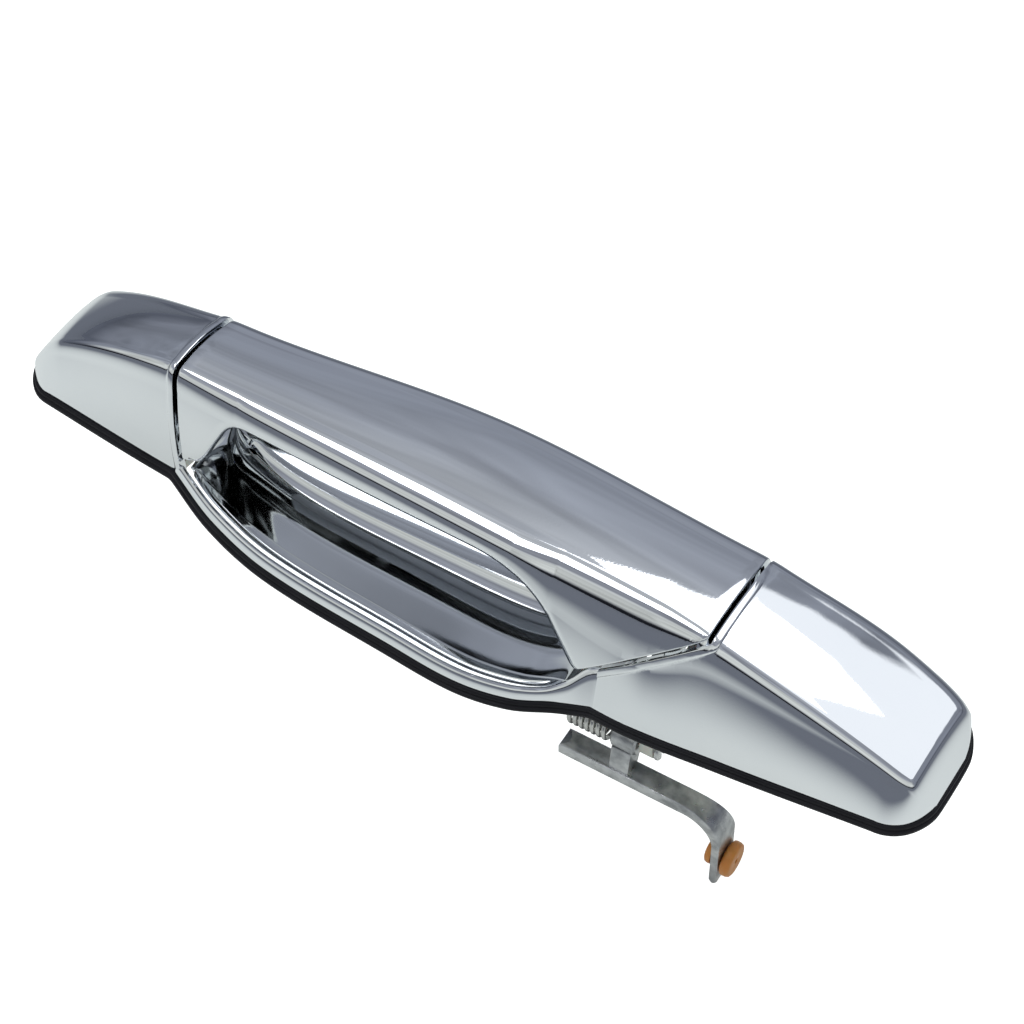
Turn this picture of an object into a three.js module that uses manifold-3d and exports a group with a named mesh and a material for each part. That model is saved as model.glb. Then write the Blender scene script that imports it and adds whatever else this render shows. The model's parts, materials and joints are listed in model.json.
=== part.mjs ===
// Outside door handle with a pull paddle between two fixed chrome end caps.
// Millimetres. +Z points straight out of the door, +Y up the door, +X towards the larger end cap.
// Z = 0 is the door skin that the gasket lies on.
import * as THREE from 'three';
import { mergeVertices } from 'three/addons/utils/BufferGeometryUtils.js';
import Module from 'manifold-3d';

const wasm = await Module();
wasm.setup();

// ---------------------------------------------------------------- driving dimensions

const clearance = 0.3; // between pieces that touch or turn in each other

// the body as a whole
const frontEnd = -131.3; // X of the small cap's foot
const rearEnd = 130; // X of the large cap's foot
const crestHeight = 43.6; // top of the front edge at the front gap
const rearCrest = crestHeight - 4.8; // top of the front edge at the rear gap
const frontCapTip = 19.5; // height of the small cap's edge where its end starts to fall
const rearCapTip = 17.0;
const capTipInset = 8.5; // how far in from the foot that point is
const shellWall = 2.4;
const edgeRadius = 3.2; // rounding of the front edge
const backRadius = 6.0; // rounding of the back edge
const faceCrown = 1.2; // bulge of the front face

// the gaps between the paddle and the caps
const frontGap = -76.6;
const rearGap = 72.5;
const gapWidth = 1.8;
const diagonalFoot = new THREE.Vector2(-30.0, 12.4); // from the rear gap in X, and height Z
const diagonalTop = 37.4; // height where the slanting gap meets the straight one
const skirtDepth = -11; // Y where the front skirt's own outline ends

// ledges that the closed paddle rests on, each with a rubber bumper
const frontLedge = 16.5;
const rearLedge = 14.5;
const ledgeThickness = 2.5;
const frontStopY = -10;
const rearStopY = -6;
const bumperInset = 2.4; // from the gap to the bumper's middle
const bumperRadius = 2.2;
const bumperHeight = 2.4;

// gasket and rim
const gasketHeight = 3.0;
const gasketStep = 1.5;
const gasketProud = 1.2;
const gasketLip = 2.2; // how far the gasket reaches in under the shell
const footHeight = gasketHeight + clearance;
const rimHeight = 6.9;
const rimWidth = 2.3;

// finger cup
const cupWall = 1.6;
const cupFloor = -6.5;
const cupBackY = 2.4;
const cupBackTop = 26;
const cupFrontDrop = 0.2; // share of the depth that is reached just inside the rim
const cupFrontStep = 3; // distance from the rim to there
const cupDeepest = 8; // distance from the back wall to the lowest line

// paddle
const paddleBackFoot = 10.8; // lower edge of its back wall
const railTop = 5.6; // top of the fixed rail under that edge
const cutHeight = crestHeight - 9.6; // straight lower edge of the front skirt
const legFoot = 11.6; // lower end of the two skirt legs
const legWidth = 5.5;
const endWeb = 2.2; // thickness of the walls at the gaps
const frontWebFoot = 19.6; // lower ends of those walls, above the stop bumpers
const rearWebFoot = 17.6;
const shellBoss = 3.2; // radius of the bosses that take the carrier's screws

// paddle hinge
const hingeY = 10;
const hingeZ = 5.5;
const hingePin = 2.0; // radius
const bushWall = 0.8;
const lugWidth = 7;
const lugRadius = 5.0;
const earWidth = 3.6;
const frontLug = frontGap + 30; // X of the lug's middle
const rearLug = rearGap - 19.5;
const frontFarEar = frontLug + 19; // holds the end of the long front pin

// carrier inside the paddle
const carrierTop = crestHeight - 8.7;
const flangeThickness = 2.5;
const flangeFront = -5; // Y of the flange's front edge
const carrierBarY = 5.5 - shellWall;
const carrierBarWidth = 3;
const carrierBarFoot = carrierTop - 13;
const carrierScrewX = [-45, 22];
const carrierScrewHead = 1.8; // height
const carrierScrewTip = carrierTop + 2.4;
const armWidth = 5; // of the arm and of the lever's tail that it lifts

// grip plate that the fingers meet under the carrier
const gripPlate = 2.0;
const gripPlateTop = carrierTop - flangeThickness - carrierScrewHead - 2 * clearance;
const gripPlateFront = -13;
const gripPostX = [-25, 0, 42];
const gripPostRadius = 2.5;

// release lever
const pivotY = -19;
const pivotZ = -15;
const pivotPin = 1.6; // radius
const hubRadius = 5.2;
const leverX = rearLug; // middle of the hub
const hubWidth = 7;
const contactRadius = 2.2; // rounded tips of the arm and the lever's tail
const leverFront = -25.2; // Y of the bar's front side
const barTop = -26;
const barThickness = 4;
const barWidth = 5.8;
const barStart = leverX - 17;
const legX = leverX + 29; // outer side of the hanging leg
const legThickness = 2.4;
const legDepth = 8.6; // size of the leg in Y
const legEnd = -54;
const bendRadius = 12;
const clipY = leverFront + legDepth / 2;
const clipZ = -46.2;
const clipRadius = 4.8;
const clipDisc = 2.8; // thickness of its head
const clipStem = 2.6; // radius in the leg's hole

// springs
const wire = 0.65; // radius
const coilRadius = 4.7;
const coilTurns = 7;
const coilPitch = 1.62;
const paddleCoilRadius = 3.4;
const paddleCoilTurns = 5;
const paddleCoilPitch = 1.3;

// base frame
const plateTop = -0.3;
const plateBottom = -3.2;
const towerWidth = 3.6;
const tongueTop = -4.0; // top of the tongue that passes under the cup's end to the front tower

// fasteners
const studRadius = 3.0;
const studTip = -24;
const studHexFoot = 3.2;
const studHexTop = 9.5;
const studHexRadius = 5; // across the corners
const bossRadius = 7.5;
const bossFoot = -6;
const screwShank = 1.4;
const screwHead = 2.8;
const screwHeadHeight = 2.0;
const carrierScrewY = carrierBarY - screwHead - clearance; // just in front of the carrier's bar
const screwLength = 12;
const screwBoss = 3.6; // radius of the bosses in the caps

const frontStudX = frontEnd + 30;
const rearStudX = rearEnd - 31;
const frameScrews = [
  ['frame_screw_front_outer', frontEnd + 15, 0],
  ['frame_screw_front_inner', frontGap - 8, -3],
  ['frame_screw_rear_inner', rearGap + 9, -4],
  ['frame_screw_rear_outer', rearEnd - 16, -3],
];

// ---------------------------------------------------------------- shape helpers

const flip = new THREE.Matrix4().makeBasis(
  new THREE.Vector3(0, 1, 0), new THREE.Vector3(0, 0, 1), new THREE.Vector3(1, 0, 0));

function solid(geometry) {
  const bare = geometry.index ? geometry.toNonIndexed() : geometry.clone();
  bare.deleteAttribute('normal');
  bare.deleteAttribute('uv');
  const merged = mergeVertices(bare, 1e-4);
  return new wasm.Manifold(new wasm.Mesh({
    numProp: 3,
    vertProperties: new Float32Array(merged.attributes.position.array),
    triVerts: new Uint32Array(merged.index.array),
  }));
}

function geometryOf(manifold) {
  const mesh = manifold.getMesh();
  const geometry = new THREE.BufferGeometry();
  geometry.setAttribute('position', new THREE.BufferAttribute(new Float32Array(mesh.vertProperties), 3));
  geometry.setIndex(new THREE.BufferAttribute(new Uint32Array(mesh.triVerts), 1));
  geometry.computeVertexNormals();
  return geometry;
}

const points = (pairs) => new THREE.Shape(pairs.map(([a, b]) => new THREE.Vector2(a, b)));

// outline in XY raised from low to high in Z
function raised(shape, low, high, curveSegments = 8) {
  const geometry = new THREE.ExtrudeGeometry(shape, { depth: high - low, bevelEnabled: false, curveSegments });
  return solid(geometry.translate(0, 0, low));
}

// outline in YZ stretched from X = low to X = high
function across(shape, low, high, curveSegments = 8) {
  const geometry = new THREE.ExtrudeGeometry(shape, { depth: high - low, bevelEnabled: false, curveSegments });
  return solid(geometry.applyMatrix4(flip).translate(low, 0, 0));
}

// outline in XZ stretched from Y = low to Y = high
function deep(shape, low, high, curveSegments = 8) {
  const geometry = new THREE.ExtrudeGeometry(shape, { depth: high - low, bevelEnabled: false, curveSegments });
  return solid(geometry.rotateX(Math.PI / 2).translate(0, high, 0));
}

function box(x0, x1, y0, y1, z0, z1) {
  const geometry = new THREE.BoxGeometry(x1 - x0, y1 - y0, z1 - z0);
  return solid(geometry.translate((x0 + x1) / 2, (y0 + y1) / 2, (z0 + z1) / 2));
}

// round bar along X
function barX(x0, x1, y, z, radius, sides = 18) {
  const geometry = new THREE.CylinderGeometry(radius, radius, x1 - x0, sides);
  return solid(geometry.rotateZ(Math.PI / 2).translate((x0 + x1) / 2, y, z));
}

// round bar along Z
function barZ(x, y, z0, z1, radius, sides = 20) {
  const geometry = new THREE.CylinderGeometry(radius, radius, z1 - z0, sides);
  return solid(geometry.rotateX(Math.PI / 2).translate(x, y, (z0 + z1) / 2));
}

const joined = (list) => list.reduce((sum, piece) => sum.add(piece));

// smooth curve through a few points, as a function of the first coordinate
function through(list) {
  const slope = list.map((point, i) => {
    const before = list[Math.max(i - 1, 0)];
    const after = list[Math.min(i + 1, list.length - 1)];
    return (after[1] - before[1]) / (after[0] - before[0]);
  });
  return (x) => {
    let i = 0;
    while (i < list.length - 2 && x > list[i + 1][0]) i += 1;
    const span = list[i + 1][0] - list[i][0];
    const t = THREE.MathUtils.clamp((x - list[i][0]) / span, 0, 1);
    const s = 1 - t;
    return (1 + 2 * t) * s * s * list[i][1] + t * s * s * span * slope[i]
      + t * t * (3 - 2 * t) * list[i + 1][1] - t * t * s * span * slope[i + 1];
  };
}

// the smaller of two values, blended over a width
function softMin(a, b, blend) {
  const near = Math.max(blend - Math.abs(a - b), 0);
  return Math.min(a, b) - near * near / (4 * blend);
}

// how far a rounded end of the given length and depth has turned in
function endTurn(distance, length, depth) {
  const t = THREE.MathUtils.clamp(1 - distance / length, 0, 1);
  return depth * (1 - Math.sqrt(1 - t * t));
}

// ---------------------------------------------------------------- the outer form

const footLine = through([
  [frontEnd + 3, -16.2], [frontGap - 7, -20.6], [rearGap - 22, -29.2], [rearGap + 8, -27.0], [rearEnd - 11, -22.6],
]);
const bulge = through([[0, 0], [0.14, 7.4], [0.3, 11.6], [0.59, 12.2], [0.75, 12.0], [0.86, 8.8], [0.94, 3.4], [1, 0]]);
const bulgeStart = frontGap - 3.5;
const bulgeEnd = rearGap - 26;
const backLine = through([[frontEnd, 16.0], [frontGap, 18.0], [0, 19.0], [rearGap, 19.2], [rearEnd, 17.5]]);
const crestLine = through([
  [frontEnd + 5, -12.8], [frontGap - 40, -15.2], [frontGap, -20.3], [0, -21.9], [rearGap, -21.2], [rearEnd - 8, -17.2],
  [rearEnd - 2, -16],
]);
const shoulderLine = through([
  [frontEnd + 3, 8], [frontGap - 40, 9.0], [frontGap, 4.6], [0, 12.8], [rearGap, 11.2], [rearEnd - 25, 14],
  [rearEnd - 2, 12],
]);
const faceDrop = through([[frontEnd + 3, 1.5], [frontGap, 4.4], [0, 4.2], [rearGap, 3.4], [rearEnd - 2, 1.5]]);

const inBulge = (x) => THREE.MathUtils.clamp((x - bulgeStart) / (bulgeEnd - bulgeStart), 0, 1);
const skirtFoot = (x) => footLine(x) + endTurn(x - frontEnd, 9, 14) + endTurn(rearEnd - x, 11, 13);
const rimFoot = (x) => skirtFoot(x) - bulge(inBulge(x));
const backFoot = (x) => backLine(x) - endTurn(x - frontEnd, 12, 15) - endTurn(rearEnd - x, 13, 16);

// height of the front edge along the handle, moved in by the wall for the inner surface
function crest(x, inset = 0) {
  const run = THREE.MathUtils.clamp((x - frontGap - 16) / (rearGap - frontGap - 16), 0, 1);
  const middle = crestHeight - (crestHeight - rearCrest) * run * run;
  const a = (frontGap - x) / (frontGap - frontEnd - capTipInset);
  const front = crestHeight - (crestHeight - frontCapTip) * a * (0.48 + 0.52 * Math.abs(a));
  const b = (x - rearGap) / (rearEnd - capTipInset - rearGap);
  const rear = rearCrest - (rearCrest - rearCapTip) * b * (0.79 + 0.21 * Math.abs(b));
  const top = Math.min(softMin(middle, front, 1.2), softMin(middle, rear, 1.2)) - inset;
  const frontWall = footHeight + (x - frontEnd - inset * 1.2) * 1.75;
  const rearWall = footHeight + (rearEnd - inset * 1.1 - x) * 2.8;
  return Math.max(softMin(softMin(top, frontWall, 5), rearWall, 4), footHeight + 0.2);
}

// arc that rounds the corner at b on the way from a to c
function rounded(a, b, c, radius, steps) {
  const back = a.clone().sub(b);
  const ahead = c.clone().sub(b);
  const limit = 0.45 * Math.min(back.length(), ahead.length());
  back.normalize();
  ahead.normalize();
  const half = Math.acos(THREE.MathUtils.clamp(back.dot(ahead), -1, 1)) / 2;
  const reach = Math.min(radius / Math.tan(half), limit);
  const start = b.clone().addScaledVector(back, reach);
  const end = b.clone().addScaledVector(ahead, reach);
  return new THREE.QuadraticBezierCurve(start, b, end).getPoints(steps);
}

// section of the body at x as (y, z) points, from the lower foot over the front to the upper foot
function bodySection(x, inset = 0) {
  const top = crest(x, inset);
  const height = top - footHeight;
  const fade = Math.min(1, height / 12);
  const below = inset > 0 ? 8 / height : 0;
  const lower = skirtFoot(x) + inset;
  const upper = backFoot(x) - inset;
  const front = new THREE.Vector2(Math.max(crestLine(x) + inset, lower + 0.1), top);
  const back = new THREE.Vector2(Math.min(shoulderLine(x) - inset * 0.8, upper - 0.1), top - faceDrop(x) * fade);
  const lowerFoot = new THREE.Vector2(lower, footHeight).lerp(front, -below);
  const upperFoot = new THREE.Vector2(upper, footHeight).lerp(back, -below);
  const edge = rounded(lowerFoot, front, back, edgeRadius - inset * 0.5, 4);
  const shoulder = rounded(front, back, upperFoot, backRadius - inset * 0.5, 4);
  const rise = faceCrown * Math.min(1, height / 25);
  const face = [0.25, 0.5, 0.75].map((t) => {
    const point = edge[edge.length - 1].clone().lerp(shoulder[0], t);
    point.y += rise * 4 * t * (1 - t);
    return point;
  });
  return [lowerFoot, ...edge, ...face, ...shoulder, upperFoot];
}

// closed body through a row of sections, each a list of (y, z) points turning clockwise seen from +X
function loft(stations, sectionAt) {
  const rings = stations.map((x) => sectionAt(x).reverse());
  const sides = rings[0].length;
  const rows = stations.length - 1;
  const geometry = new THREE.CylinderGeometry(1, 1, 1, sides, rows);
  const position = geometry.attributes.position;
  for (let i = 0; i < position.count; i += 1) {
    const row = Math.round((position.getY(i) + 0.5) * rows);
    const ring = rings[row];
    const turn = Math.atan2(position.getX(i), position.getZ(i)) / (2 * Math.PI);
    const atAxis = Math.hypot(position.getX(i), position.getZ(i)) < 0.5;
    const point = new THREE.Vector2();
    if (atAxis) ring.forEach((corner) => point.addScaledVector(corner, 1 / sides));
    else point.copy(ring[(Math.round(turn * sides) + sides) % sides]);
    position.setXYZ(i, stations[row], point.x, point.y);
  }
  return solid(geometry);
}

// stations from one end to the other, close together at the ends and the gaps
function stationsBetween(start, end, marks) {
  const list = [];
  marks.forEach(([from, to, count]) => {
    for (let i = 0; i < count; i += 1) list.push(from + (to - from) * i / count);
  });
  return list.filter((x) => x > start && x < end).concat([start, end]).sort((a, b) => a - b);
}

const bodyMarks = [
  [frontEnd + 0.5, frontEnd + 5, 3], [frontEnd + 5, frontEnd + 16, 4], [frontEnd + 16, frontGap - 2, 4],
  [frontGap - 2, frontGap + 2, 2], [frontGap + 2, rearGap - 2, 9], [rearGap - 2, rearGap + 2, 2],
  [rearGap + 2, rearEnd - 14, 4], [rearEnd - 14, rearEnd - 4, 4], [rearEnd - 4, rearEnd - 0.4, 3],
];

const outerBody = loft(
  stationsBetween(frontEnd + 0.1, rearEnd - 0.1, bodyMarks), (x) => bodySection(x));
const innerBody = loft(
  stationsBetween(frontEnd + shellWall * 1.3, rearEnd - shellWall * 1.2, bodyMarks),
  (x) => bodySection(x, shellWall));
const paddleInside = loft(
  stationsBetween(frontGap - 2, rearGap + 2, bodyMarks), (x) => bodySection(x, shellWall + clearance));
const bodyShell = outerBody.subtract(innerBody);

// foot outline of the whole handle, grown or shrunk, as points in the plan
function footOutline(grow) {
  const ends = [
    [frontEnd + 0.3, frontEnd + 3, 3], [frontEnd + 3, frontEnd + 13, 3],
    [rearEnd - 13, rearEnd - 3, 3], [rearEnd - 3, rearEnd - 0.3, 3],
  ];
  const bulgeMarks = [
    [frontGap - 7, frontGap + 20, 8], [frontGap + 20, rearGap - 60, 5], [rearGap - 60, rearGap - 20, 12],
    [rearGap - 20, rearEnd - 13, 3],
  ];
  const lower = stationsBetween(frontEnd, rearEnd, [...ends, ...bulgeMarks])
    .map((x) => new THREE.Vector2(x, rimFoot(x)));
  const upper = stationsBetween(frontEnd, rearEnd, [...ends, [frontEnd + 30, rearEnd - 20, 7]])
    .map((x) => new THREE.Vector2(x, backFoot(x))).reverse();
  const ring = [...lower, ...upper];
  return ring.map((point, i) => {
    const before = ring[(i + ring.length - 1) % ring.length];
    const after = ring[(i + 1) % ring.length];
    const along = after.clone().sub(before).normalize();
    return new THREE.Vector2(point.x + along.y * grow, point.y - along.x * grow);
  });
}

// ---------------------------------------------------------------- where the paddle parts from the shell

// region of the front skirt that belongs to the paddle; grow moves its borders outwards
function skirtRegion(grow, floor) {
  const foot = new THREE.Vector2(rearGap + diagonalFoot.x, diagonalFoot.y);
  const top = new THREE.Vector2(rearGap, diagonalTop);
  const slope = (top.y - foot.y) / (top.x - foot.x);
  const lower = grow * Math.hypot(1, slope);
  return deep(points([
    [frontGap - grow, floor], [foot.x - 3.5 + grow, floor], [foot.x + grow * slope, foot.y - lower + grow * slope * slope],
    [rearGap + grow, top.y - lower + grow * slope], [rearGap + grow, 70], [frontGap - grow, 70],
  ]), -60, skirtDepth);
}

const backRegion = (grow, floor) => box(frontGap - grow, rearGap + grow, skirtDepth - 0.01, 60, floor, 70);

// finger cut in the front skirt: between the two legs and below the straight edge
function fingerCut() {
  const left = frontGap + gapWidth / 2 + legWidth;
  const right = rearGap + diagonalFoot.x;
  const shape = new THREE.Shape();
  shape.moveTo(left - 2, -5);
  shape.lineTo(left - 2, legFoot + 1);
  shape.bezierCurveTo(left + 2.5, legFoot + 2, left + 4, legFoot + 10, left + 6.5, cutHeight - 8);
  shape.quadraticCurveTo(left + 9.5, cutHeight, left + 16, cutHeight);
  shape.lineTo(right - 34, cutHeight);
  shape.bezierCurveTo(right - 22, cutHeight, right - 16, cutHeight - 4, right - 11.5, legFoot + 13);
  shape.lineTo(right - 3.5, legFoot + 1);
  shape.lineTo(right - 1, -5);
  return deep(shape, -60, skirtDepth + 0.5, 6);
}

// the skirt's legs end at the same height
const legTrim = () => box(frontGap - 5, rearGap - 20, -60, skirtDepth + 0.5, -5, legFoot);

// ---------------------------------------------------------------- fixed chrome parts

function rimRing() {
  const from = bulgeStart - 2;
  const to = bulgeEnd + 4;
  const count = 30;
  const row = Array.from({ length: count + 1 }, (_, i) => from + (to - from) * i / count);
  const outer = row.map((x) => [x, rimFoot(x)]);
  const inner = row.map((x) => [x, rimFoot(x) + rimWidth]).reverse();
  return raised(points([...outer, ...inner]), footHeight, rimHeight);
}

const cupFront = frontGap + 3.4;
const cupRear = rearGap - 34.7;

// section of the bowl at x: from the rim down, over the floor and up the back wall
function bowlSection(x, inset) {
  const middle = (cupFront + cupRear) / 2;
  const half = (cupRear - cupFront) / 2 - inset;
  const t = THREE.MathUtils.clamp(Math.abs(x - middle) / half, 0, 1);
  const size = Math.sqrt(1 - t ** 5) * 0.97 + 0.03;
  const lift = inset > 0 ? 6 : 0;
  const rimY = rimFoot(x) + rimWidth + clearance + inset;
  const backY = rimY + (cupBackY - inset - rimY) * size;
  const floor = rimHeight - (rimHeight - cupFloor - inset) * size;
  const frontTop = new THREE.Vector2(rimY, rimHeight - clearance + lift);
  const backTop = new THREE.Vector2(backY, rimHeight + (cupBackTop - rimHeight) * size + lift);
  const frontLow = new THREE.Vector2(
    rimY + cupFrontStep * size, rimHeight - (rimHeight - floor) * cupFrontDrop);
  const deepest = new THREE.Vector2(backY - cupDeepest * size, floor);
  const frontSide = rounded(frontTop, frontLow, deepest, 5, 4);
  const backSide = rounded(frontLow, deepest, backTop, 16, 7);
  return [frontTop, ...frontSide, ...backSide, backTop].reverse();
}

function fingerCup() {
  const marks = [
    [cupFront + 0.2, cupFront + 8, 6], [cupFront + 8, cupRear - 12, 10], [cupRear - 12, cupRear - 0.2, 8],
  ];
  const outer = loft(stationsBetween(cupFront, cupRear, marks), (x) => bowlSection(x, 0));
  const inner = loft(
    stationsBetween(cupFront + cupWall, cupRear - cupWall, marks), (x) => bowlSection(x, cupWall));
  return outer.subtract(inner);
}

function bezel() {
  const half = gapWidth / 2;
  const webs = outerBody.intersect(joined([
    box(frontGap - half - endWeb, frontGap - half, -60, 60, rimHeight, 70),
    box(rearGap + half, rearGap + half + endWeb, -60, 60, rimHeight, 70),
  ]));
  const ledges = joined([
    box(frontGap - half - 1, frontGap + 5, frontStopY - 4, frontStopY + 4, frontLedge - ledgeThickness, frontLedge),
    box(rearGap - 5, rearGap + half + 1, rearStopY - 4, rearStopY + 4, rearLedge - ledgeThickness, rearLedge),
  ]);
  const bosses = innerBody.intersect(joined(frameScrews.map(([, x, y]) => barZ(x, y, 0, 60, screwBoss, 16))));
  const bores = joined(frameScrews.map(([, x, y]) => barZ(x, y, -5, screwLength - 1, screwShank + clearance, 12)));
  const open = skirtRegion(half, footHeight - 0.1).add(backRegion(half, railTop));
  const rim = rimRing().subtract(box(cupRear + 3, 200, -60, 60, -10, footHeight - 1));
  return bodyShell.subtract(open).add(webs).add(rim).add(ledges).add(bosses).subtract(bores);
}

function gasket() {
  const inner = new THREE.Path(footOutline(-gasketLip));
  const lower = new THREE.Shape(footOutline(gasketProud));
  const upper = new THREE.Shape(footOutline(gasketProud - 0.7));
  lower.holes.push(inner);
  upper.holes.push(inner);
  return raised(lower, 0, gasketStep).add(raised(upper, gasketStep, gasketHeight));
}

// ---------------------------------------------------------------- paddle

function paddleShell() {
  const half = gapWidth / 2;
  const region = skirtRegion(-half, legFoot).add(backRegion(-half, paddleBackFoot));
  const webs = outerBody.intersect(joined([
    box(frontGap + half, frontGap + half + endWeb, skirtDepth + 0.4, 60, frontWebFoot, 70),
    box(rearGap - half - endWeb, rearGap - half, skirtDepth + 0.4, 60, rearWebFoot, 70),
  ]));
  const bosses = innerBody.intersect(joined(carrierScrewX.map(
    (x) => barZ(x, carrierScrewY, carrierTop + clearance, 60, shellBoss, 16))));
  const bores = joined(carrierScrewX.map(
    (x) => barZ(x, carrierScrewY, 20, carrierScrewTip + 0.6, screwShank + clearance, 12)));
  return bodyShell.intersect(region).subtract(fingerCut()).subtract(legTrim())
    .add(webs).add(bosses).subtract(bores);
}

function gripPlateSolid() {
  const slab = box(
    frontGap + 18, rearGap - 6, gripPlateFront, carrierBarY - clearance, gripPlateTop - gripPlate, gripPlateTop);
  const postTop = carrierTop - flangeThickness - clearance;
  const posts = joined(gripPostX.map((x) => barZ(x, -1, gripPlateTop - 1, postTop, gripPostRadius, 20)));
  return paddleInside.intersect(slab).add(posts);
}

// where the arm of the paddle meets the tail of the lever: halfway between the two axes
const hinge = new THREE.Vector2(hingeY, hingeZ);
const pivot = new THREE.Vector2(pivotY, pivotZ);
const contact = hinge.clone().lerp(pivot, 0.5);
const toPivot = pivot.clone().sub(hinge).normalize();
const upward = new THREE.Vector2(toPivot.y, -toPivot.x);
const tipOffset = contactRadius + clearance * 0.7;
const armTip = contact.clone().addScaledVector(upward, -tipOffset);
const tailTip = contact.clone().addScaledVector(upward, tipOffset);

// flat link in YZ with a round end at b, as wide as its two radii
function link(x0, x1, a, b, radiusA, radiusB) {
  const along = b.clone().sub(a).normalize();
  const side = new THREE.Vector2(-along.y, along.x);
  const corner = (centre, radius, sign) => centre.clone().addScaledVector(side, sign * radius);
  const outline = [
    corner(a, radiusA, 1), corner(a, radiusA, -1), corner(b, radiusB, -1), corner(b, radiusB, 1),
  ];
  return across(new THREE.Shape(outline), x0, x1).add(barX(x0, x1, b.x, b.y, radiusB, 20));
}

function paddleCarrier() {
  const bar = box(
    frontLug - lugWidth / 2, rearLug + lugWidth / 2, carrierBarY, carrierBarY + carrierBarWidth,
    carrierBarFoot, carrierTop - flangeThickness + 0.6);
  const flange = box(
    frontLug + 4, rearLug - 4, flangeFront, carrierBarY + 1, carrierTop - flangeThickness, carrierTop);
  const lugs = [frontLug, rearLug].map((x) => {
    const top = new THREE.Vector2(carrierBarY + carrierBarWidth / 2, carrierBarFoot + 2);
    return link(x - lugWidth / 2, x + lugWidth / 2, top, hinge, 2, 3.4)
      .add(barX(x - lugWidth / 2, x + lugWidth / 2, hingeY, hingeZ, lugRadius, 28));
  });
  const arm = link(rearLug - armWidth / 2, rearLug + armWidth / 2, hinge, armTip, 2.6, contactRadius);
  const bore = hingePin + bushWall + 2 * clearance;
  const bores = [frontLug, rearLug].map((x) => barX(x - 6, x + 6, hingeY, hingeZ, bore, 24));
  const holes = carrierScrewX.map((x) => barZ(x, carrierScrewY, 20, 45, screwShank + clearance, 12));
  return joined([bar, flange, ...lugs, arm]).subtract(joined([...bores, ...holes]));
}

// ---------------------------------------------------------------- base frame

function ear(x) {
  const foot = new THREE.Vector2(hingeY, plateTop - 1);
  const width = earWidth / 2;
  return link(x - width, x + width, foot, hinge, lugRadius, lugRadius - 0.6);
}

const earX = (lug, side) => lug + side * (lugWidth / 2 + 2 * clearance + earWidth / 2);
const hubGap = hubWidth / 2 + 2 * clearance;
const rearTowerX = leverX + hubGap + towerWidth / 2;
const coilStart = leverX - hubWidth / 2 - 1.2 - coilTurns * coilPitch;
const frontTowerX = coilStart - 1.2 - towerWidth / 2;

function tower(x, top) {
  const head = new THREE.Vector2(pivotY, top);
  return link(x - towerWidth / 2, x + towerWidth / 2, head, pivot, 4.2, 3.8);
}

function baseFrame() {
  const frontPlate = points([
    [frontEnd + 9, -9], [frontEnd + 18, -13.5], [frontGap - 4, -16], [frontGap - 1, 5.6], [frontGap - 1, 14.5],
    [frontEnd + 18, 13], [frontEnd + 9, 7],
  ]);
  const rearPlate = points([
    [cupRear + 3, -23.8], [rearGap - 12, -24], [rearGap + 12, -22], [rearEnd - 14, -18], [rearEnd - 7, -11],
    [rearEnd - 7, 5], [rearEnd - 18, 14.5], [cupRear + 3, 14.5],
  ]);
  const rail = box(frontGap - 2, cupRear + 4, 5.6, 14.5, plateBottom, plateTop);
  const bosses = [frontStudX, rearStudX].map((x) => barZ(x, 0, bossFoot, 6, bossRadius, 32));
  const ears = [earX(frontLug, -1), earX(frontLug, 1), frontFarEar, earX(rearLug, -1), earX(rearLug, 1)].map(ear);
  const towers = [tower(frontTowerX, tongueTop - 1), tower(rearTowerX, plateBottom + 1)];
  const tongue = box(frontTowerX - 3, cupRear + 6, -23.8, -13, tongueTop - 2.4, tongueTop)
    .add(box(cupRear + 1, cupRear + 6, -23.8, -13, tongueTop - 2.4, plateTop - 1));
  const window = box(rearLug - lugWidth / 2 - 0.5, rearLug + lugWidth / 2 + 0.5, -18.6, 16, -20, 20);
  const pins = joined([
    barX(frontLug - 12, frontFarEar + 4, hingeY, hingeZ, hingePin + clearance, 20),
    barX(rearLug - 12, rearLug + 12, hingeY, hingeZ, hingePin + clearance, 20),
    barX(frontTowerX - 6, rearTowerX + 6, pivotY, pivotZ, pivotPin + clearance, 20),
  ]);
  const studs = joined([frontStudX, rearStudX].flatMap((x) => [
    barZ(x, 0, -30, 30, studRadius + clearance, 24),
    hexagon(x, 0, studHexFoot - clearance, 20, studHexRadius + clearance),
  ]));
  const holes = joined(frameScrews.map(([, x, y]) => barZ(x, y, -10, 10, screwShank + 2 * clearance, 12)));
  const plates = raised(frontPlate, plateBottom, plateTop).add(raised(rearPlate, plateBottom, plateTop));
  return joined([plates, tongue, rail, ...bosses, ...ears, ...towers])
    .subtract(window).subtract(pins).subtract(studs).subtract(holes);
}

// ---------------------------------------------------------------- release lever

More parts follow.
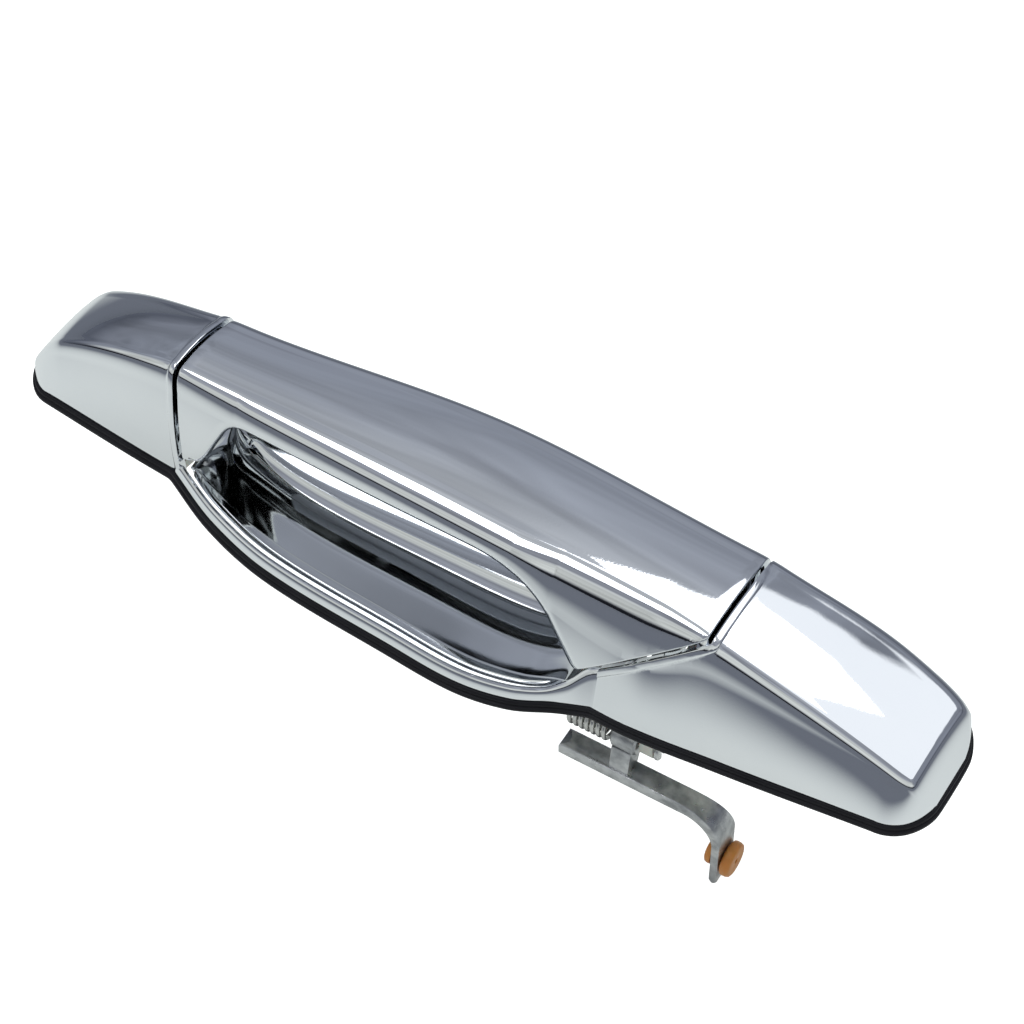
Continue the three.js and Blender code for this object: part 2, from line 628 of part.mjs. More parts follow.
function releaseLever() {
  const shape = new THREE.Shape();
  const low = barTop - barThickness;
  shape.moveTo(barStart, barTop);
  shape.lineTo(barStart, low);
  shape.lineTo(legX - legThickness - 6, low);
  shape.absarc(legX - legThickness - 6, low - 6, 6, Math.PI / 2, 0, true);
  shape.lineTo(legX - legThickness, legEnd + 3);
  shape.quadraticCurveTo(legX - legThickness, legEnd, legX - legThickness / 2, legEnd);
  shape.quadraticCurveTo(legX, legEnd, legX, legEnd + 3);
  shape.lineTo(legX, barTop - bendRadius);
  shape.absarc(legX - bendRadius, barTop - bendRadius, bendRadius, 0, Math.PI / 2, false);
  const strip = deep(shape, leverFront, leverFront + legDepth, 8);
  const behindBar = box(barStart - 1, legX - bendRadius - 2, leverFront + barWidth, 10, low - 1, barTop + 1);
  const scoop = barZ(leverX - 9, leverFront + barWidth + 2.4, low - 1, barTop + 1, 4.6, 24);
  const half = hubWidth / 2;
  const neckTop = new THREE.Vector2(pivotY, pivotZ);
  const neckFoot = new THREE.Vector2(leverFront + barWidth / 2, barTop - 1);
  const neck = link(leverX - half, leverX + half - 1, neckTop, neckFoot, 3.2, 2.4);
  const hub = barX(leverX - half, leverX + half, pivotY, pivotZ, hubRadius, 28);
  const tail = link(leverX - armWidth / 2, leverX + armWidth / 2, pivot, tailTip, 3, contactRadius);
  const bore = barX(leverX - 10, leverX + 10, pivotY, pivotZ, pivotPin + bushWall + 2 * clearance, 24);
  const clipHole = barX(legX - 6, legX + 6, clipY, clipZ, clipStem + clearance, 24);
  return strip.subtract(behindBar).subtract(scoop).add(neck).add(hub).add(tail).subtract(bore).subtract(clipHole);
}

function rodClip() {
  const disc = barX(legX + clearance, legX + clearance + clipDisc, clipY, clipZ, clipRadius, 36);
  const stem = barX(legX - legThickness - 2, legX + 1, clipY, clipZ, clipStem, 24);
  const collar = barX(
    legX - legThickness - clearance - 2, legX - legThickness - clearance, clipY, clipZ, clipStem + 1, 24);
  const hole = barX(legX - 20, legX + 20, clipY, clipZ, 1.5, 20);
  const split = box(legX - legThickness - 3, legX - legThickness - 0.2, clipY - 0.4, clipY + 0.4, clipZ, clipZ + 9);
  const notch = box(legX, legX + 9, clipY - 0.8, clipY + 0.8, clipZ - 9, clipZ - 3.4);
  return disc.add(stem).add(collar).subtract(hole).subtract(split).subtract(notch);
}

// ---------------------------------------------------------------- springs, pins, bushes and fasteners

class Coil extends THREE.Curve {
  constructor(x0, y, z, radius, turns, pitch) {
    super();
    Object.assign(this, { x0, y, z, radius, turns, pitch });
  }

  getPoint(t, target = new THREE.Vector3()) {
    const angle = t * this.turns * 2 * Math.PI;
    return target.set(
      this.x0 + t * this.turns * this.pitch,
      this.y + this.radius * Math.cos(angle), this.z + this.radius * Math.sin(angle));
  }
}

function torsionSpring(x0, y, z, radius, turns, pitch) {
  const section = new THREE.Shape();
  section.absarc(0, 0, wire, 0, 2 * Math.PI, false);
  const curve = new Coil(x0, y, z, radius, turns, pitch);
  const steps = turns * 10;
  return solid(new THREE.ExtrudeGeometry(
    section, { steps, curveSegments: 3, extrudePath: curve, bevelEnabled: false }));
}

function tube(x0, x1, y, z, outer, inner) {
  return barX(x0, x1, y, z, outer).subtract(barX(x0 - 1, x1 + 1, y, z, inner));
}

function hexagon(x, y, z0, z1, radius) {
  return barZ(x, y, z0, z1, radius, 6);
}

function headedPin(x0, x1, y, z, radius) {
  return barX(x0, x1, y, z, radius, 20).add(barX(x0 - 1.4, x0, y, z, radius + 1.2, 20));
}

function stud(x) {
  return hexagon(x, 0, studHexFoot, studHexTop, studHexRadius)
    .add(barZ(x, 0, studTip, studHexFoot + 0.8, studRadius, 24));
}

function frameScrew(x, y) {
  const under = plateBottom - clearance;
  return barZ(x, y, under - screwHeadHeight, under, screwHead, 18)
    .add(barZ(x, y, under - 0.5, under + screwLength, screwShank, 12))
    .subtract(box(x - 0.35, x + 0.35, y - 1.8, y + 1.8, under - 3, under - screwHeadHeight + 0.8))
    .subtract(box(x - 1.8, x + 1.8, y - 0.35, y + 0.35, under - 3, under - screwHeadHeight + 0.8));
}

function carrierScrew(x) {
  const under = carrierTop - flangeThickness - clearance;
  return barZ(x, carrierScrewY, under - carrierScrewHead, under, screwHead, 18)
    .add(barZ(x, carrierScrewY, under - 0.5, carrierScrewTip, screwShank, 12));
}

function retainingClip(x) {
  const ring = tube(x, x + 0.9, pivotY, pivotZ, pivotPin + 2.2, pivotPin + 0.25);
  return ring.subtract(box(x - 1, x + 2, pivotY - 1.1, pivotY + 1.1, pivotZ - 9, pivotZ));
}

// ---------------------------------------------------------------- materials and the assembly

const look = {
  chrome: { color: '#c9cdd1', roughness: 0.04, metalness: 1 },
  rubber: { color: '#15151a', roughness: 0.65, metalness: 0 },
  zinc: { color: '#a3a6a8', roughness: 0.42, metalness: 1 },
  steel: { color: '#9a9da1', roughness: 0.3, metalness: 1 },
  nylon: { color: '#e4e4dd', roughness: 0.5, metalness: 0 },
  orange: { color: '#d68c3c', roughness: 0.45, metalness: 0 },
  silver: { color: '#9a9da3', roughness: 0.4, metalness: 0.6 },
};

const handle = new THREE.Group();

function place(name, manifold, material) {
  const mesh = new THREE.Mesh(geometryOf(manifold), new THREE.MeshStandardMaterial(look[material]));
  mesh.name = name;
  handle.add(mesh);
}

place('bezel', bezel(), 'chrome');
place('finger_cup', fingerCup(), 'chrome');
place('gasket', gasket(), 'rubber');
place('base_frame', baseFrame(), 'nylon');

place('paddle_shell', paddleShell(), 'chrome');
place('grip_plate', gripPlateSolid(), 'silver');
place('paddle_carrier', paddleCarrier(), 'zinc');
carrierScrewX.forEach((x, i) => place(`carrier_screw_${['front', 'rear'][i]}`, carrierScrew(x), 'steel'));

place('release_lever', releaseLever(), 'zinc');
place('rod_clip', rodClip(), 'orange');

[['front', frontLug], ['rear', rearLug]].forEach(([side, lug]) => {
  const start = earX(lug, -1) - earWidth / 2 - 0.3;
  const end = side === 'front' ? frontFarEar + earWidth / 2 + 1 : earX(lug, 1) + earWidth / 2 + 1;
  place(`${side}_hinge_pin`, headedPin(start, end, hingeY, hingeZ, hingePin), 'steel');
  const outer = hingePin + clearance + bushWall;
  place(`${side}_hinge_bush`,
    tube(lug - lugWidth / 2, lug + lugWidth / 2, hingeY, hingeZ, outer, hingePin + clearance), 'nylon');
});
const springStart = earX(frontLug, 1) + earWidth / 2 + 1;
place('paddle_spring', torsionSpring(
  springStart, hingeY, hingeZ, paddleCoilRadius, paddleCoilTurns, paddleCoilPitch), 'steel');

const pinStart = frontTowerX - towerWidth / 2 - 0.3;
const pinEnd = rearTowerX + towerWidth / 2 + 2.4;
place('lever_pivot_pin', headedPin(pinStart, pinEnd, pivotY, pivotZ, pivotPin), 'steel');
place('lever_bush', tube(
  leverX - hubWidth / 2, leverX + hubWidth / 2, pivotY, pivotZ, pivotPin + clearance + bushWall,
  pivotPin + clearance), 'nylon');
place('lever_spring', torsionSpring(
  coilStart, pivotY, pivotZ, coilRadius, coilTurns, coilPitch), 'steel');
place('pivot_clip', retainingClip(rearTowerX + towerWidth / 2 + 0.5), 'steel');

const bumper = (x, y, ledge) => barZ(
  x, y, ledge + clearance, ledge + clearance + bumperHeight, bumperRadius, 20);
place('front_stop_bumper', bumper(frontGap + bumperInset, frontStopY, frontLedge), 'rubber');
place('rear_stop_bumper', bumper(rearGap - bumperInset, rearStopY, rearLedge), 'rubber');
place('front_mounting_stud', stud(frontStudX), 'steel');
place('rear_mounting_stud', stud(rearStudX), 'steel');
frameScrews.forEach(([name, x, y]) => place(name, frameScrew(x, y), 'steel'));

export default handle;
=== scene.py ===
import json
import math

import bmesh
import bpy
from mathutils import Matrix, Vector


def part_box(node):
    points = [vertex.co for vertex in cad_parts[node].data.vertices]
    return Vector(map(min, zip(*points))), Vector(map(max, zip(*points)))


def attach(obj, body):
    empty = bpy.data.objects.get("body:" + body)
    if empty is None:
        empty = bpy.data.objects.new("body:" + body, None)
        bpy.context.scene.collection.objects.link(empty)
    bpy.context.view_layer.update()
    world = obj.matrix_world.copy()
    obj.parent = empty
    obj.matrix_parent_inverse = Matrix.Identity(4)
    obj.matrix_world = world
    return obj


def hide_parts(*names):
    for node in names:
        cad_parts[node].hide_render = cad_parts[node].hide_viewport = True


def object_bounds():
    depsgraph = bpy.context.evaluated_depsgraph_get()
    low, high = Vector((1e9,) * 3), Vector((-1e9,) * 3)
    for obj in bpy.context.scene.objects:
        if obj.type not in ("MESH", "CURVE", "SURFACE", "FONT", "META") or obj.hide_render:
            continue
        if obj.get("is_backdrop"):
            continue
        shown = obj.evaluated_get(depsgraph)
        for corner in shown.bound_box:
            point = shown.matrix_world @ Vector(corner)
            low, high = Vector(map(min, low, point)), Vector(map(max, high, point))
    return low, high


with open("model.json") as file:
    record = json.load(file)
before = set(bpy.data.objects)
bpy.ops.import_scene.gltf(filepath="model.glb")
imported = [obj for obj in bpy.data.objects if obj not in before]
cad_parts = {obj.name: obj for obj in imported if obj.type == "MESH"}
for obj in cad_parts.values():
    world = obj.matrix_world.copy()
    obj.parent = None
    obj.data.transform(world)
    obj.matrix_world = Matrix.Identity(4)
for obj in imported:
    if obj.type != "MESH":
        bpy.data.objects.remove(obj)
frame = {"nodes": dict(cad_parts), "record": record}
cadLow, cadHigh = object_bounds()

mm = 0.001
print("frame loaded:", len(frame["nodes"]), "nodes")


def nodeBox(node):
    low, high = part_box(node)
    return low / mm, high / mm


def clamp(value, low=0.0, high=1.0):
    return max(low, min(high, value))


def mix(a, b, t):
    return a + (b - a) * t


def through(knots):
    # smooth curve through a few points, as a function of the first number
    slopes = []
    for i in range(len(knots)):
        before, after = knots[max(i - 1, 0)], knots[min(i + 1, len(knots) - 1)]
        slopes.append((after[1] - before[1]) / (after[0] - before[0]))

    def value(x):
        i = 0
        while i < len(knots) - 2 and x > knots[i + 1][0]:
            i += 1
        span = knots[i + 1][0] - knots[i][0]
        t = clamp((x - knots[i][0]) / span)
        s = 1 - t
        return ((1 + 2 * t) * s * s * knots[i][1] + t * s * s * span * slopes[i]
                + t * t * (3 - 2 * t) * knots[i + 1][1] - t * t * s * span * slopes[i + 1])
    return value


def softMin(a, b, blend):
    near = max(blend - abs(a - b), 0)
    return min(a, b) - near * near / (4 * blend)


def endTurn(distance, length, depth):
    t = clamp(1 - distance / length)
    return depth * (1 - math.sqrt(1 - t * t))


# the body's form in millimetres, with its ends and gaps taken from the solids
bezelLow, bezelHigh = nodeBox("bezel")
paddleLow, paddleHigh = nodeBox("paddle_shell")
body = {
    "frontEnd": bezelLow.x - 0.1,
    "rearEnd": bezelHigh.x + 0.1,
    "gap": 1.8,
    "crestHeight": 43.6,
    "rearCrest": 38.8,
    "frontCapTip": 19.5,
    "rearCapTip": 17.0,
    "capTipInset": 8.5,
    "foot": 3.3,
    "backRadius": 6.0,
    "faceCrown": 1.1,
    "wall": 1.9,
    "rimHeight": 6.9,
}
halfGap = body["gap"] / 2
frontGap = paddleLow.x - halfGap
rearGap = paddleHigh.x + halfGap
frontEnd, rearEnd = body["frontEnd"], body["rearEnd"]

footLine = through([[frontEnd + 3, -16.2], [frontGap - 7, -20.6], [rearGap - 22, -29.2], [rearGap + 8, -27.0],
                    [rearEnd - 11, -22.6]])
bulge = through([[0, 0], [0.14, 7.4], [0.3, 11.6], [0.59, 12.2], [0.75, 12.0], [0.86, 8.8], [0.94, 3.4],
                 [1, 0]])
bulgeStart, bulgeEnd = frontGap - 3.5, rearGap - 26
backLine = through([[frontEnd, 16.0], [frontGap, 18.0], [0, 19.0], [rearGap, 19.2], [rearEnd, 17.5]])
crestLine = through([[frontEnd + 5, -12.8], [frontGap - 40, -15.2], [frontGap, -20.3], [0, -21.9],
                     [rearGap, -21.2], [rearEnd - 8, -17.2], [rearEnd - 2, -16]])
shoulderLine = through([[frontEnd + 3, 8], [frontGap - 40, 9.0], [frontGap, 4.6], [0, 12.8], [rearGap, 11.2],
                        [rearEnd - 25, 14], [rearEnd - 2, 12]])
faceDrop = through([[frontEnd + 3, 1.5], [frontGap, 4.4], [0, 4.2], [rearGap, 3.4], [rearEnd - 2, 1.5]])
filletWidth = through([[frontEnd, 2.2], [frontEnd + 20, 2.8], [frontGap, 3.6], [-45, 5.4], [10, 7.0],
                       [rearGap - 16, 6.0], [rearGap, 3.8], [rearGap + 30, 3.0], [rearEnd, 2.4]])

edgeTail = through([[frontEnd, 0.2], [frontEnd + 25, 0.7], [frontGap, 0.9], [-20, 0.3], [25, 1.0],
                    [rearGap - 14, 2.2], [rearGap, 1.9], [rearGap + 25, 1.1], [rearEnd - 10, 0.3],
                    [rearEnd, 0.1]])
crownLine = through([[frontEnd, 0.8], [frontGap, 0.9], [rearGap - 60, 1.0], [rearGap - 25, 0.4],
                     [rearGap - 8, 0.9], [rearEnd, 0.9]])


def skirtFoot(x):
    return footLine(x) + endTurn(x - frontEnd, 9, 14) + endTurn(rearEnd - x, 11, 13)


def rimFoot(x):
    return skirtFoot(x) - bulge(clamp((x - bulgeStart) / (bulgeEnd - bulgeStart)))


def backFoot(x):
    return backLine(x) - endTurn(x - frontEnd, 12, 15) - endTurn(rearEnd - x, 13, 16)


def crest(x):
    foot, high, low = body["foot"], body["crestHeight"], body["rearCrest"]
    run = clamp((x - frontGap - 16) / (rearGap - frontGap - 16))
    middle = high - (high - low) * run * run
    a = (frontGap - x) / (frontGap - frontEnd - body["capTipInset"])
    front = high - (high - body["frontCapTip"]) * a * (0.48 + 0.52 * abs(a))
    b = (x - rearGap) / (rearEnd - body["capTipInset"] - rearGap)
    rear = low - (low - body["rearCapTip"]) * b * (0.79 + 0.21 * abs(b))
    top = min(softMin(middle, front, 1.2), softMin(middle, rear, 1.2))
    frontWall = foot + (x - frontEnd) * 1.75
    rearWall = foot + (rearEnd - x) * 2.8
    return max(softMin(softMin(top, frontWall, 5), rearWall, 4), foot + 0.2)


def corner(a, b, c, radius, steps, tail=1.0):
    # arc that rounds the corner at b on the way from a to c; a longer tail starts it sooner on a's side
    back, ahead = a - b, c - b
    limit = 0.45 * min(back.length, ahead.length)
    half = back.angle(ahead) / 2
    reach = min(radius / math.tan(half), limit)
    start = b + back.normalized() * min(reach * tail, 0.8 * back.length)
    end = b + ahead.normalized() * reach
    return [start.lerp(b, k / steps).lerp(b.lerp(end, k / steps), k / steps) for k in range(steps + 1)]


def sectionAt(x, shares, lowZ=None, backZ=None, skirtCrown=0.0, counts=(12, 22, 8, 12)):
    # outline of the body at x as (y, z), from the lower edge of the skirt over the face to the back wall;
    # shares say how far up the skirt each of its rows stands
    edgeSteps, faceSteps, shoulderSteps, backSteps = counts
    top = crest(x)
    height = top - body["foot"]
    lower, upper = skirtFoot(x), backFoot(x)
    front = Vector((max(crestLine(x), lower + 0.1), top))
    back = Vector((min(shoulderLine(x), upper - 0.1), top - faceDrop(x) * min(1, height / 12)))
    lowerFoot, upperFoot = Vector((lower, body["foot"])), Vector((upper, body["foot"]))
    room = top - filletWidth(x) - (body["foot"] if lowZ is None else lowZ) - 2.5
    easing = min(edgeTail(x), max(room, 0) / filletWidth(x))
    edge = corner(lowerFoot, front, back, filletWidth(x), edgeSteps, 1 + max(easing, 0))
    shoulder = corner(front, back, upperFoot, body["backRadius"], shoulderSteps)
    rise = body["faceCrown"] * min(1, height / 25)
    start = edge[0]
    skirt = []
    fromZ = body["foot"] if lowZ is None else min(lowZ, start.y - 0.4)
    for share in shares:
        z = mix(fromZ, start.y, share)
        t = (z - body["foot"]) / max(start.y - body["foot"], 0.01)
        point = lowerFoot.lerp(start, t)
        point.x -= skirtCrown * 4 * t * (1 - t) * min(1, height / 25)
        skirt.append(point)
    face = []
    for k in range(1, faceSteps):
        t = k / faceSteps
        point = edge[-1].lerp(shoulder[0], t)
        point.y += rise * 4 * t * (1 - t)
        face.append(point)
    toZ = body["foot"] if backZ is None else min(backZ, shoulder[-1].y - 0.4)
    wall = []
    for k in range(1, backSteps + 1):
        z = mix(shoulder[-1].y, toZ, k / backSteps)
        wall.append(upperFoot.lerp(shoulder[-1], (z - body["foot"]) / max(shoulder[-1].y - body["foot"], 0.01)))
    return skirt + edge + face + shoulder + wall


# mesh tools
sharpAngle = math.radians(38)
narrowFace = 0.32  # faces narrower than this belong to a rounded edge and show wear


def grid(columns):
    # a grid whose columns are lists of points
    nx, ny = len(columns) - 1, len(columns[0]) - 1
    bm = bmesh.new()
    bmesh.ops.create_grid(bm, x_segments=nx, y_segments=ny, size=1.0)
    for v in bm.verts:
        v.co = columns[round((v.co.x + 1) / 2 * nx)][round((v.co.y + 1) / 2 * ny)]
    bm.normal_update()
    return bm


def bodySheet(xs, rowsAt):
    return grid([[Vector((x, p.x, p.y)) for p in rowsAt(x)] for x in xs])


def between(marks):
    # stations from a list of (start, end, count), in order and without repeats
    xs = set()
    for start, end, count in marks:
        xs.update(round(mix(start, end, k / count), 4) for k in range(count + 1))
    return sorted(xs)


def cut(bm, point, normal, pick, clear=False):
    faces = [f for f in bm.faces if pick(f.calc_center_median())]
    edges = {e for f in faces for e in f.edges}
    verts = {v for f in faces for v in f.verts}
    bmesh.ops.bisect_plane(bm, geom=faces + list(edges) + list(verts), dist=1e-4,
                           plane_co=point, plane_no=normal, clear_outer=clear)
    bm.normal_update()


def toBorder(line, x, z):
    # distance in XZ from a border given as a row of points
    best = 1e9
    for a, b in zip(line, line[1:]):
        along = Vector(b) - Vector(a)
        t = clamp((Vector((x, z)) - Vector(a)).dot(along) / along.length_squared)
        best = min(best, (Vector((x, z)) - Vector(a) - along * t).length)
    return best


def thicken(bm, depth, shift=None):
    # gives a sheet its wall, then moves its outer skin along its normals by shift(point)
    skin = [(v, v.normal.copy()) for v in bm.verts]
    bmesh.ops.solidify(bm, geom=bm.faces[:], thickness=depth)
    if shift:
        for v, normal in skin:
            v.co += normal * shift(v.co)


def soften(bm, width):
    # rounds every edge sharper than sharpAngle
    sharp = [e for e in bm.edges if len(e.link_faces) == 2 and e.calc_face_angle(0) > sharpAngle]
    bmesh.ops.bevel(bm, geom=sharp, offset=width, offset_type="OFFSET", affect="EDGES", segments=2,
                    profile=0.5, material=-1, clamp_overlap=True)


def finishPiece(bm, name, material, rides, nodes=(), angle=34, bevel=None):
    # scales a mesh to metres, gives it its finish, parents it to the body it rides on and hides the solids it
    # replaces
    if bevel:
        soften(bm, bevel)
    wear = bm.verts.layers.float.new("wear")
    for v in bm.verts:
        narrow = [min(e.calc_length() for e in f.edges) < narrowFace for f in v.link_faces]
        v[wear] = 1.0 if bevel and narrow and all(narrow) else 0.0
    bmesh.ops.scale(bm, vec=(mm, mm, mm), verts=bm.verts)
    mesh = bpy.data.meshes.new(name)
    bm.to_mesh(mesh)
    bm.free()
    piece = bpy.data.objects.new(name, mesh)
    bpy.context.scene.collection.objects.link(piece)
    mesh.shade_smooth()
    mesh.set_sharp_from_angle(angle=math.radians(angle))
    mesh.materials.append(material)
    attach(piece, rides)
    if nodes:
        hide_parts(*nodes)


def merged(*parts):
    # several meshes as one
    whole = bmesh.new()
    for part in parts:
        mesh = bpy.data.meshes.new("part")
        part.to_mesh(mesh)
        part.free()
        whole.from_mesh(mesh)
        bpy.data.meshes.remove(mesh)
    whole.normal_update()
    return whole


def prism(outline, axis, low, high, bevel=0.0):
    # a flat outline pushed along x or z, its edges softened; outline points are the two other axes in order
    bm = bmesh.new()
    upright = axis == "z"
    face = bm.faces.new([bm.verts.new((a, b, low) if upright else (low, a, b)) for a, b in outline])
    step = (0, 0, high - low) if upright else (high - low, 0, 0)
    pushed = bmesh.ops.extrude_face_region(bm, geom=[face])["geom"]
    bmesh.ops.translate(bm, vec=step, verts=[g for g in pushed if isinstance(g, bmesh.types.BMVert)])
    bmesh.ops.holes_fill(bm, edges=bm.edges[:])
    bmesh.ops.recalc_face_normals(bm, faces=bm.faces)
    if bevel:
        soften(bm, bevel)
    return bm


def turned(profile, centre, axis, steps=48):
    # (radius, distance along the axis) points spun into a round solid
    bm = bmesh.new()
    verts = [bm.verts.new((r, 0, h)) for r, h in profile]
    closed = profile[0][0] > 0 and profile[-1][0] > 0
    edges = [bm.edges.new(pair) for pair in zip(verts, verts[1:] + verts[:1] if closed else verts[1:])]
    bmesh.ops.spin(bm, geom=verts + edges, cent=(0, 0, 0), axis=(0, 0, 1), angle=2 * math.pi, steps=steps,
                   use_merge=True, use_duplicate=False)
    bmesh.ops.remove_doubles(bm, verts=bm.verts, dist=1e-4)
    bmesh.ops.recalc_face_normals(bm, faces=bm.faces)
    if axis == "x":
        bmesh.ops.rotate(bm, cent=(0, 0, 0), matrix=Matrix.Rotation(math.pi / 2, 3, "Y"), verts=bm.verts)
    bmesh.ops.translate(bm, vec=centre, verts=bm.verts)
    return bm


def swept(path, profileAt, sideAt, closed=False):
    # a closed profile carried along a path; sideAt gives the two directions the profile is drawn in
    columns = []
    for i, point in enumerate(path):
        u, v = sideAt(i)
        ring = [Vector(point) + u * a + v * b for a, b in profileAt(i)]
        columns.append(ring + ring[:1])
    if closed:
        columns.append(columns[0])
    bm = grid(columns)
    bmesh.ops.remove_doubles(bm, verts=bm.verts, dist=1e-4)
    if not closed:
        bmesh.ops.holes_fill(bm, edges=[e for e in bm.edges if len(e.link_faces) == 1])
    bmesh.ops.recalc_face_normals(bm, faces=bm.faces)
    return bm


def ring(radius, count):
    angles = [k * 2 * math.pi / count for k in range(count)]
    return [(radius * math.cos(angle), radius * math.sin(angle)) for angle in angles]


def refined(node):
    # a copy of a solid with its flat faces made whole again
    bm = bmesh.new()
    bm.from_mesh(frame["nodes"][node].data)
    bmesh.ops.scale(bm, vec=(1 / mm, 1 / mm, 1 / mm), verts=bm.verts)
    bmesh.ops.remove_doubles(bm, verts=bm.verts, dist=0.004)
    bmesh.ops.dissolve_limit(bm, angle_limit=math.radians(0.6), verts=bm.verts, edges=bm.edges)
    bm.normal_update()
    return bm


# shader groups


def newNode(nodes, kind, operation=None, **values):
    node = nodes.new("ShaderNode" + kind)
    if operation:
        node.operation = operation
    for label, value in values.items():
        node.inputs[label.replace("_", " ")].default_value = value
    return node


def mixedColour(nodes, link, factor, a, b):
    node = newNode(nodes, "Mix")
    node.data_type = "RGBA"
    link(factor, node.inputs["Factor"])
    for socket, value in ((node.inputs[6], a), (node.inputs[7], b)):
        if isinstance(value, tuple):
            socket.default_value = (*value, 1)
        else:
            link(value, socket)
    return node.outputs[2]


def nodeGroup(name, inputs, output):
    group = bpy.data.node_groups.new(name, "ShaderNodeTree")
    for label, kind, start in inputs:
        socket = group.interface.new_socket(label, in_out="INPUT", socket_type="NodeSocket" + kind)
        if start is not None:
            socket.default_value = start
    group.interface.new_socket(output[0], in_out="OUTPUT", socket_type="NodeSocket" + output[1])
    return group, group.nodes.new("NodeGroupInput"), group.nodes.new("NodeGroupOutput")


def patchGroup():
    # soft blotches between two values
    group, given, out = nodeGroup("patches", [
        ("Vector", "Vector", None), ("Scale", "Float", 20.0), ("Detail", "Float", 4.0), ("Low", "Float", 0.0),
        ("High", "Float", 1.0), ("Contrast", "Float", 0.2),
    ], ("Value", "Float"))
    nodes, link = group.nodes, group.links.new
    noise, spread = newNode(nodes, "TexNoise"), newNode(nodes, "MapRange")
    for label in ("Vector", "Scale", "Detail"):
        link(given.outputs[label], noise.inputs[label])
    for operation, end in (("SUBTRACT", "From Min"), ("ADD", "From Max")):
        limit = newNode(nodes, "Math", operation, Value=0.5)
        link(given.outputs["Contrast"], limit.inputs[1])
        link(limit.outputs[0], spread.inputs[end])
    link(noise.outputs["Fac"], spread.inputs["Value"])
    link(given.outputs["Low"], spread.inputs["To Min"])
    link(given.outputs["High"], spread.inputs["To Max"])
    link(spread.outputs["Result"], out.inputs["Value"])
    return group


def grainGroup():
    # fine relief as a normal: a broad wave and a fine grain
    group, given, out = nodeGroup("grain", [
        ("Vector", "Vector", None), ("Broad Scale", "Float", 15.0), ("Broad Depth", "Float", 0.1),
        ("Fine Scale", "Float", 900.0), ("Fine Depth", "Float", 0.1), ("Distance", "Float", 0.0001),
    ], ("Normal", "Vector"))
    nodes, link = group.nodes, group.links.new
    last = None
    for label in ("Broad", "Fine"):
        noise, bump = newNode(nodes, "TexNoise", Detail=2.0), newNode(nodes, "Bump")
        link(given.outputs["Vector"], noise.inputs["Vector"])
        link(given.outputs[label + " Scale"], noise.inputs["Scale"])
        link(given.outputs[label + " Depth"], bump.inputs["Strength"])
        link(given.outputs["Distance"], bump.inputs["Distance"])
        link(noise.outputs["Fac"], bump.inputs["Height"])
        if last:
            link(last.outputs["Normal"], bump.inputs["Normal"])
        last = bump
    link(last.outputs["Normal"], out.inputs["Normal"])
    return group


def wearGroup():
    # 1 along softened edges, broken up by noise
    group, given, out = nodeGroup("edgeWear", [
        ("Vector", "Vector", None), ("Scale", "Float", 300.0), ("Amount", "Float", 1.0),
    ], ("Mask", "Float"))
    nodes, link = group.nodes, group.links.new
    edge, noise = newNode(nodes, "Attribute"), newNode(nodes, "TexNoise")
    edge.attribute_name = "wear"
    rubbed = newNode(nodes, "MapRange", From_Min=0.35, From_Max=0.55)
    both, scaled = newNode(nodes, "Math", "MULTIPLY"), newNode(nodes, "Math", "MULTIPLY")
    link(given.outputs["Vector"], noise.inputs["Vector"])
    link(given.outputs["Scale"], noise.inputs["Scale"])
    link(noise.outputs["Fac"], rubbed.inputs["Value"])
    link(edge.outputs["Fac"], both.inputs[0])
    link(rubbed.outputs["Result"], both.inputs[1])
    link(both.outputs[0], scaled.inputs[0])
    link(given.outputs["Amount"], scaled.inputs[1])
    link(scaled.outputs[0], out.inputs["Mask"])
    return group


patches, grain, edgeWear = patchGroup(), grainGroup(), wearGroup()


def surface(name, look):
    # one finish: two tones in blotches, worn edges, patchy roughness and a fine relief
    material = bpy.data.materials.new(name)
    material.use_nodes = True
    nodes, link = material.node_tree.nodes, material.node_tree.links.new
    shader, place = nodes["Principled BSDF"], newNode(nodes, "TexCoord")

    def grouped(group, **values):
        node = newNode(nodes, "Group")
        node.node_tree = group
        link(place.outputs["Object"], node.inputs["Vector"])
        for label, value in values.items():
            node.inputs[label.replace("_", " ")].default_value = value
        return node

    tone = grouped(patches, Scale=look["patchScale"], Detail=5.0, Contrast=look.get("contrast", 0.2))
    worn = grouped(edgeWear, Scale=400.0, Amount=look.get("wear", 0.0))
    rough = grouped(patches, Scale=look["roughScale"], Detail=6.0, Low=look["roughness"][0],
                    High=look["roughness"][1], Contrast=0.22)
    relief = grouped(grain, Broad_Scale=look["broadScale"], Broad_Depth=look["broadDepth"],
                     Fine_Scale=look["fineScale"], Fine_Depth=look["fineDepth"], Distance=look["relief"])
    blend = mixedColour(nodes, link, tone.outputs["Value"], look["color"], look["second"])
    blend = mixedColour(nodes, link, worn.outputs["Mask"], blend, look.get("worn", look["color"]))
    link(blend, shader.inputs["Base Color"])
    link(rough.outputs["Value"], shader.inputs["Roughness"])
    link(relief.outputs["Normal"], shader.inputs["Normal"])
    shader.inputs["Metallic"].default_value = look.get("metallic", 0.0)
    shader.inputs["IOR"].default_value = look.get("ior", 1.5)
    shader.inputs["Subsurface Weight"].default_value = look.get("subsurface", 0.0)
    shader.inputs["Subsurface Scale"].default_value = 0.002
    return material


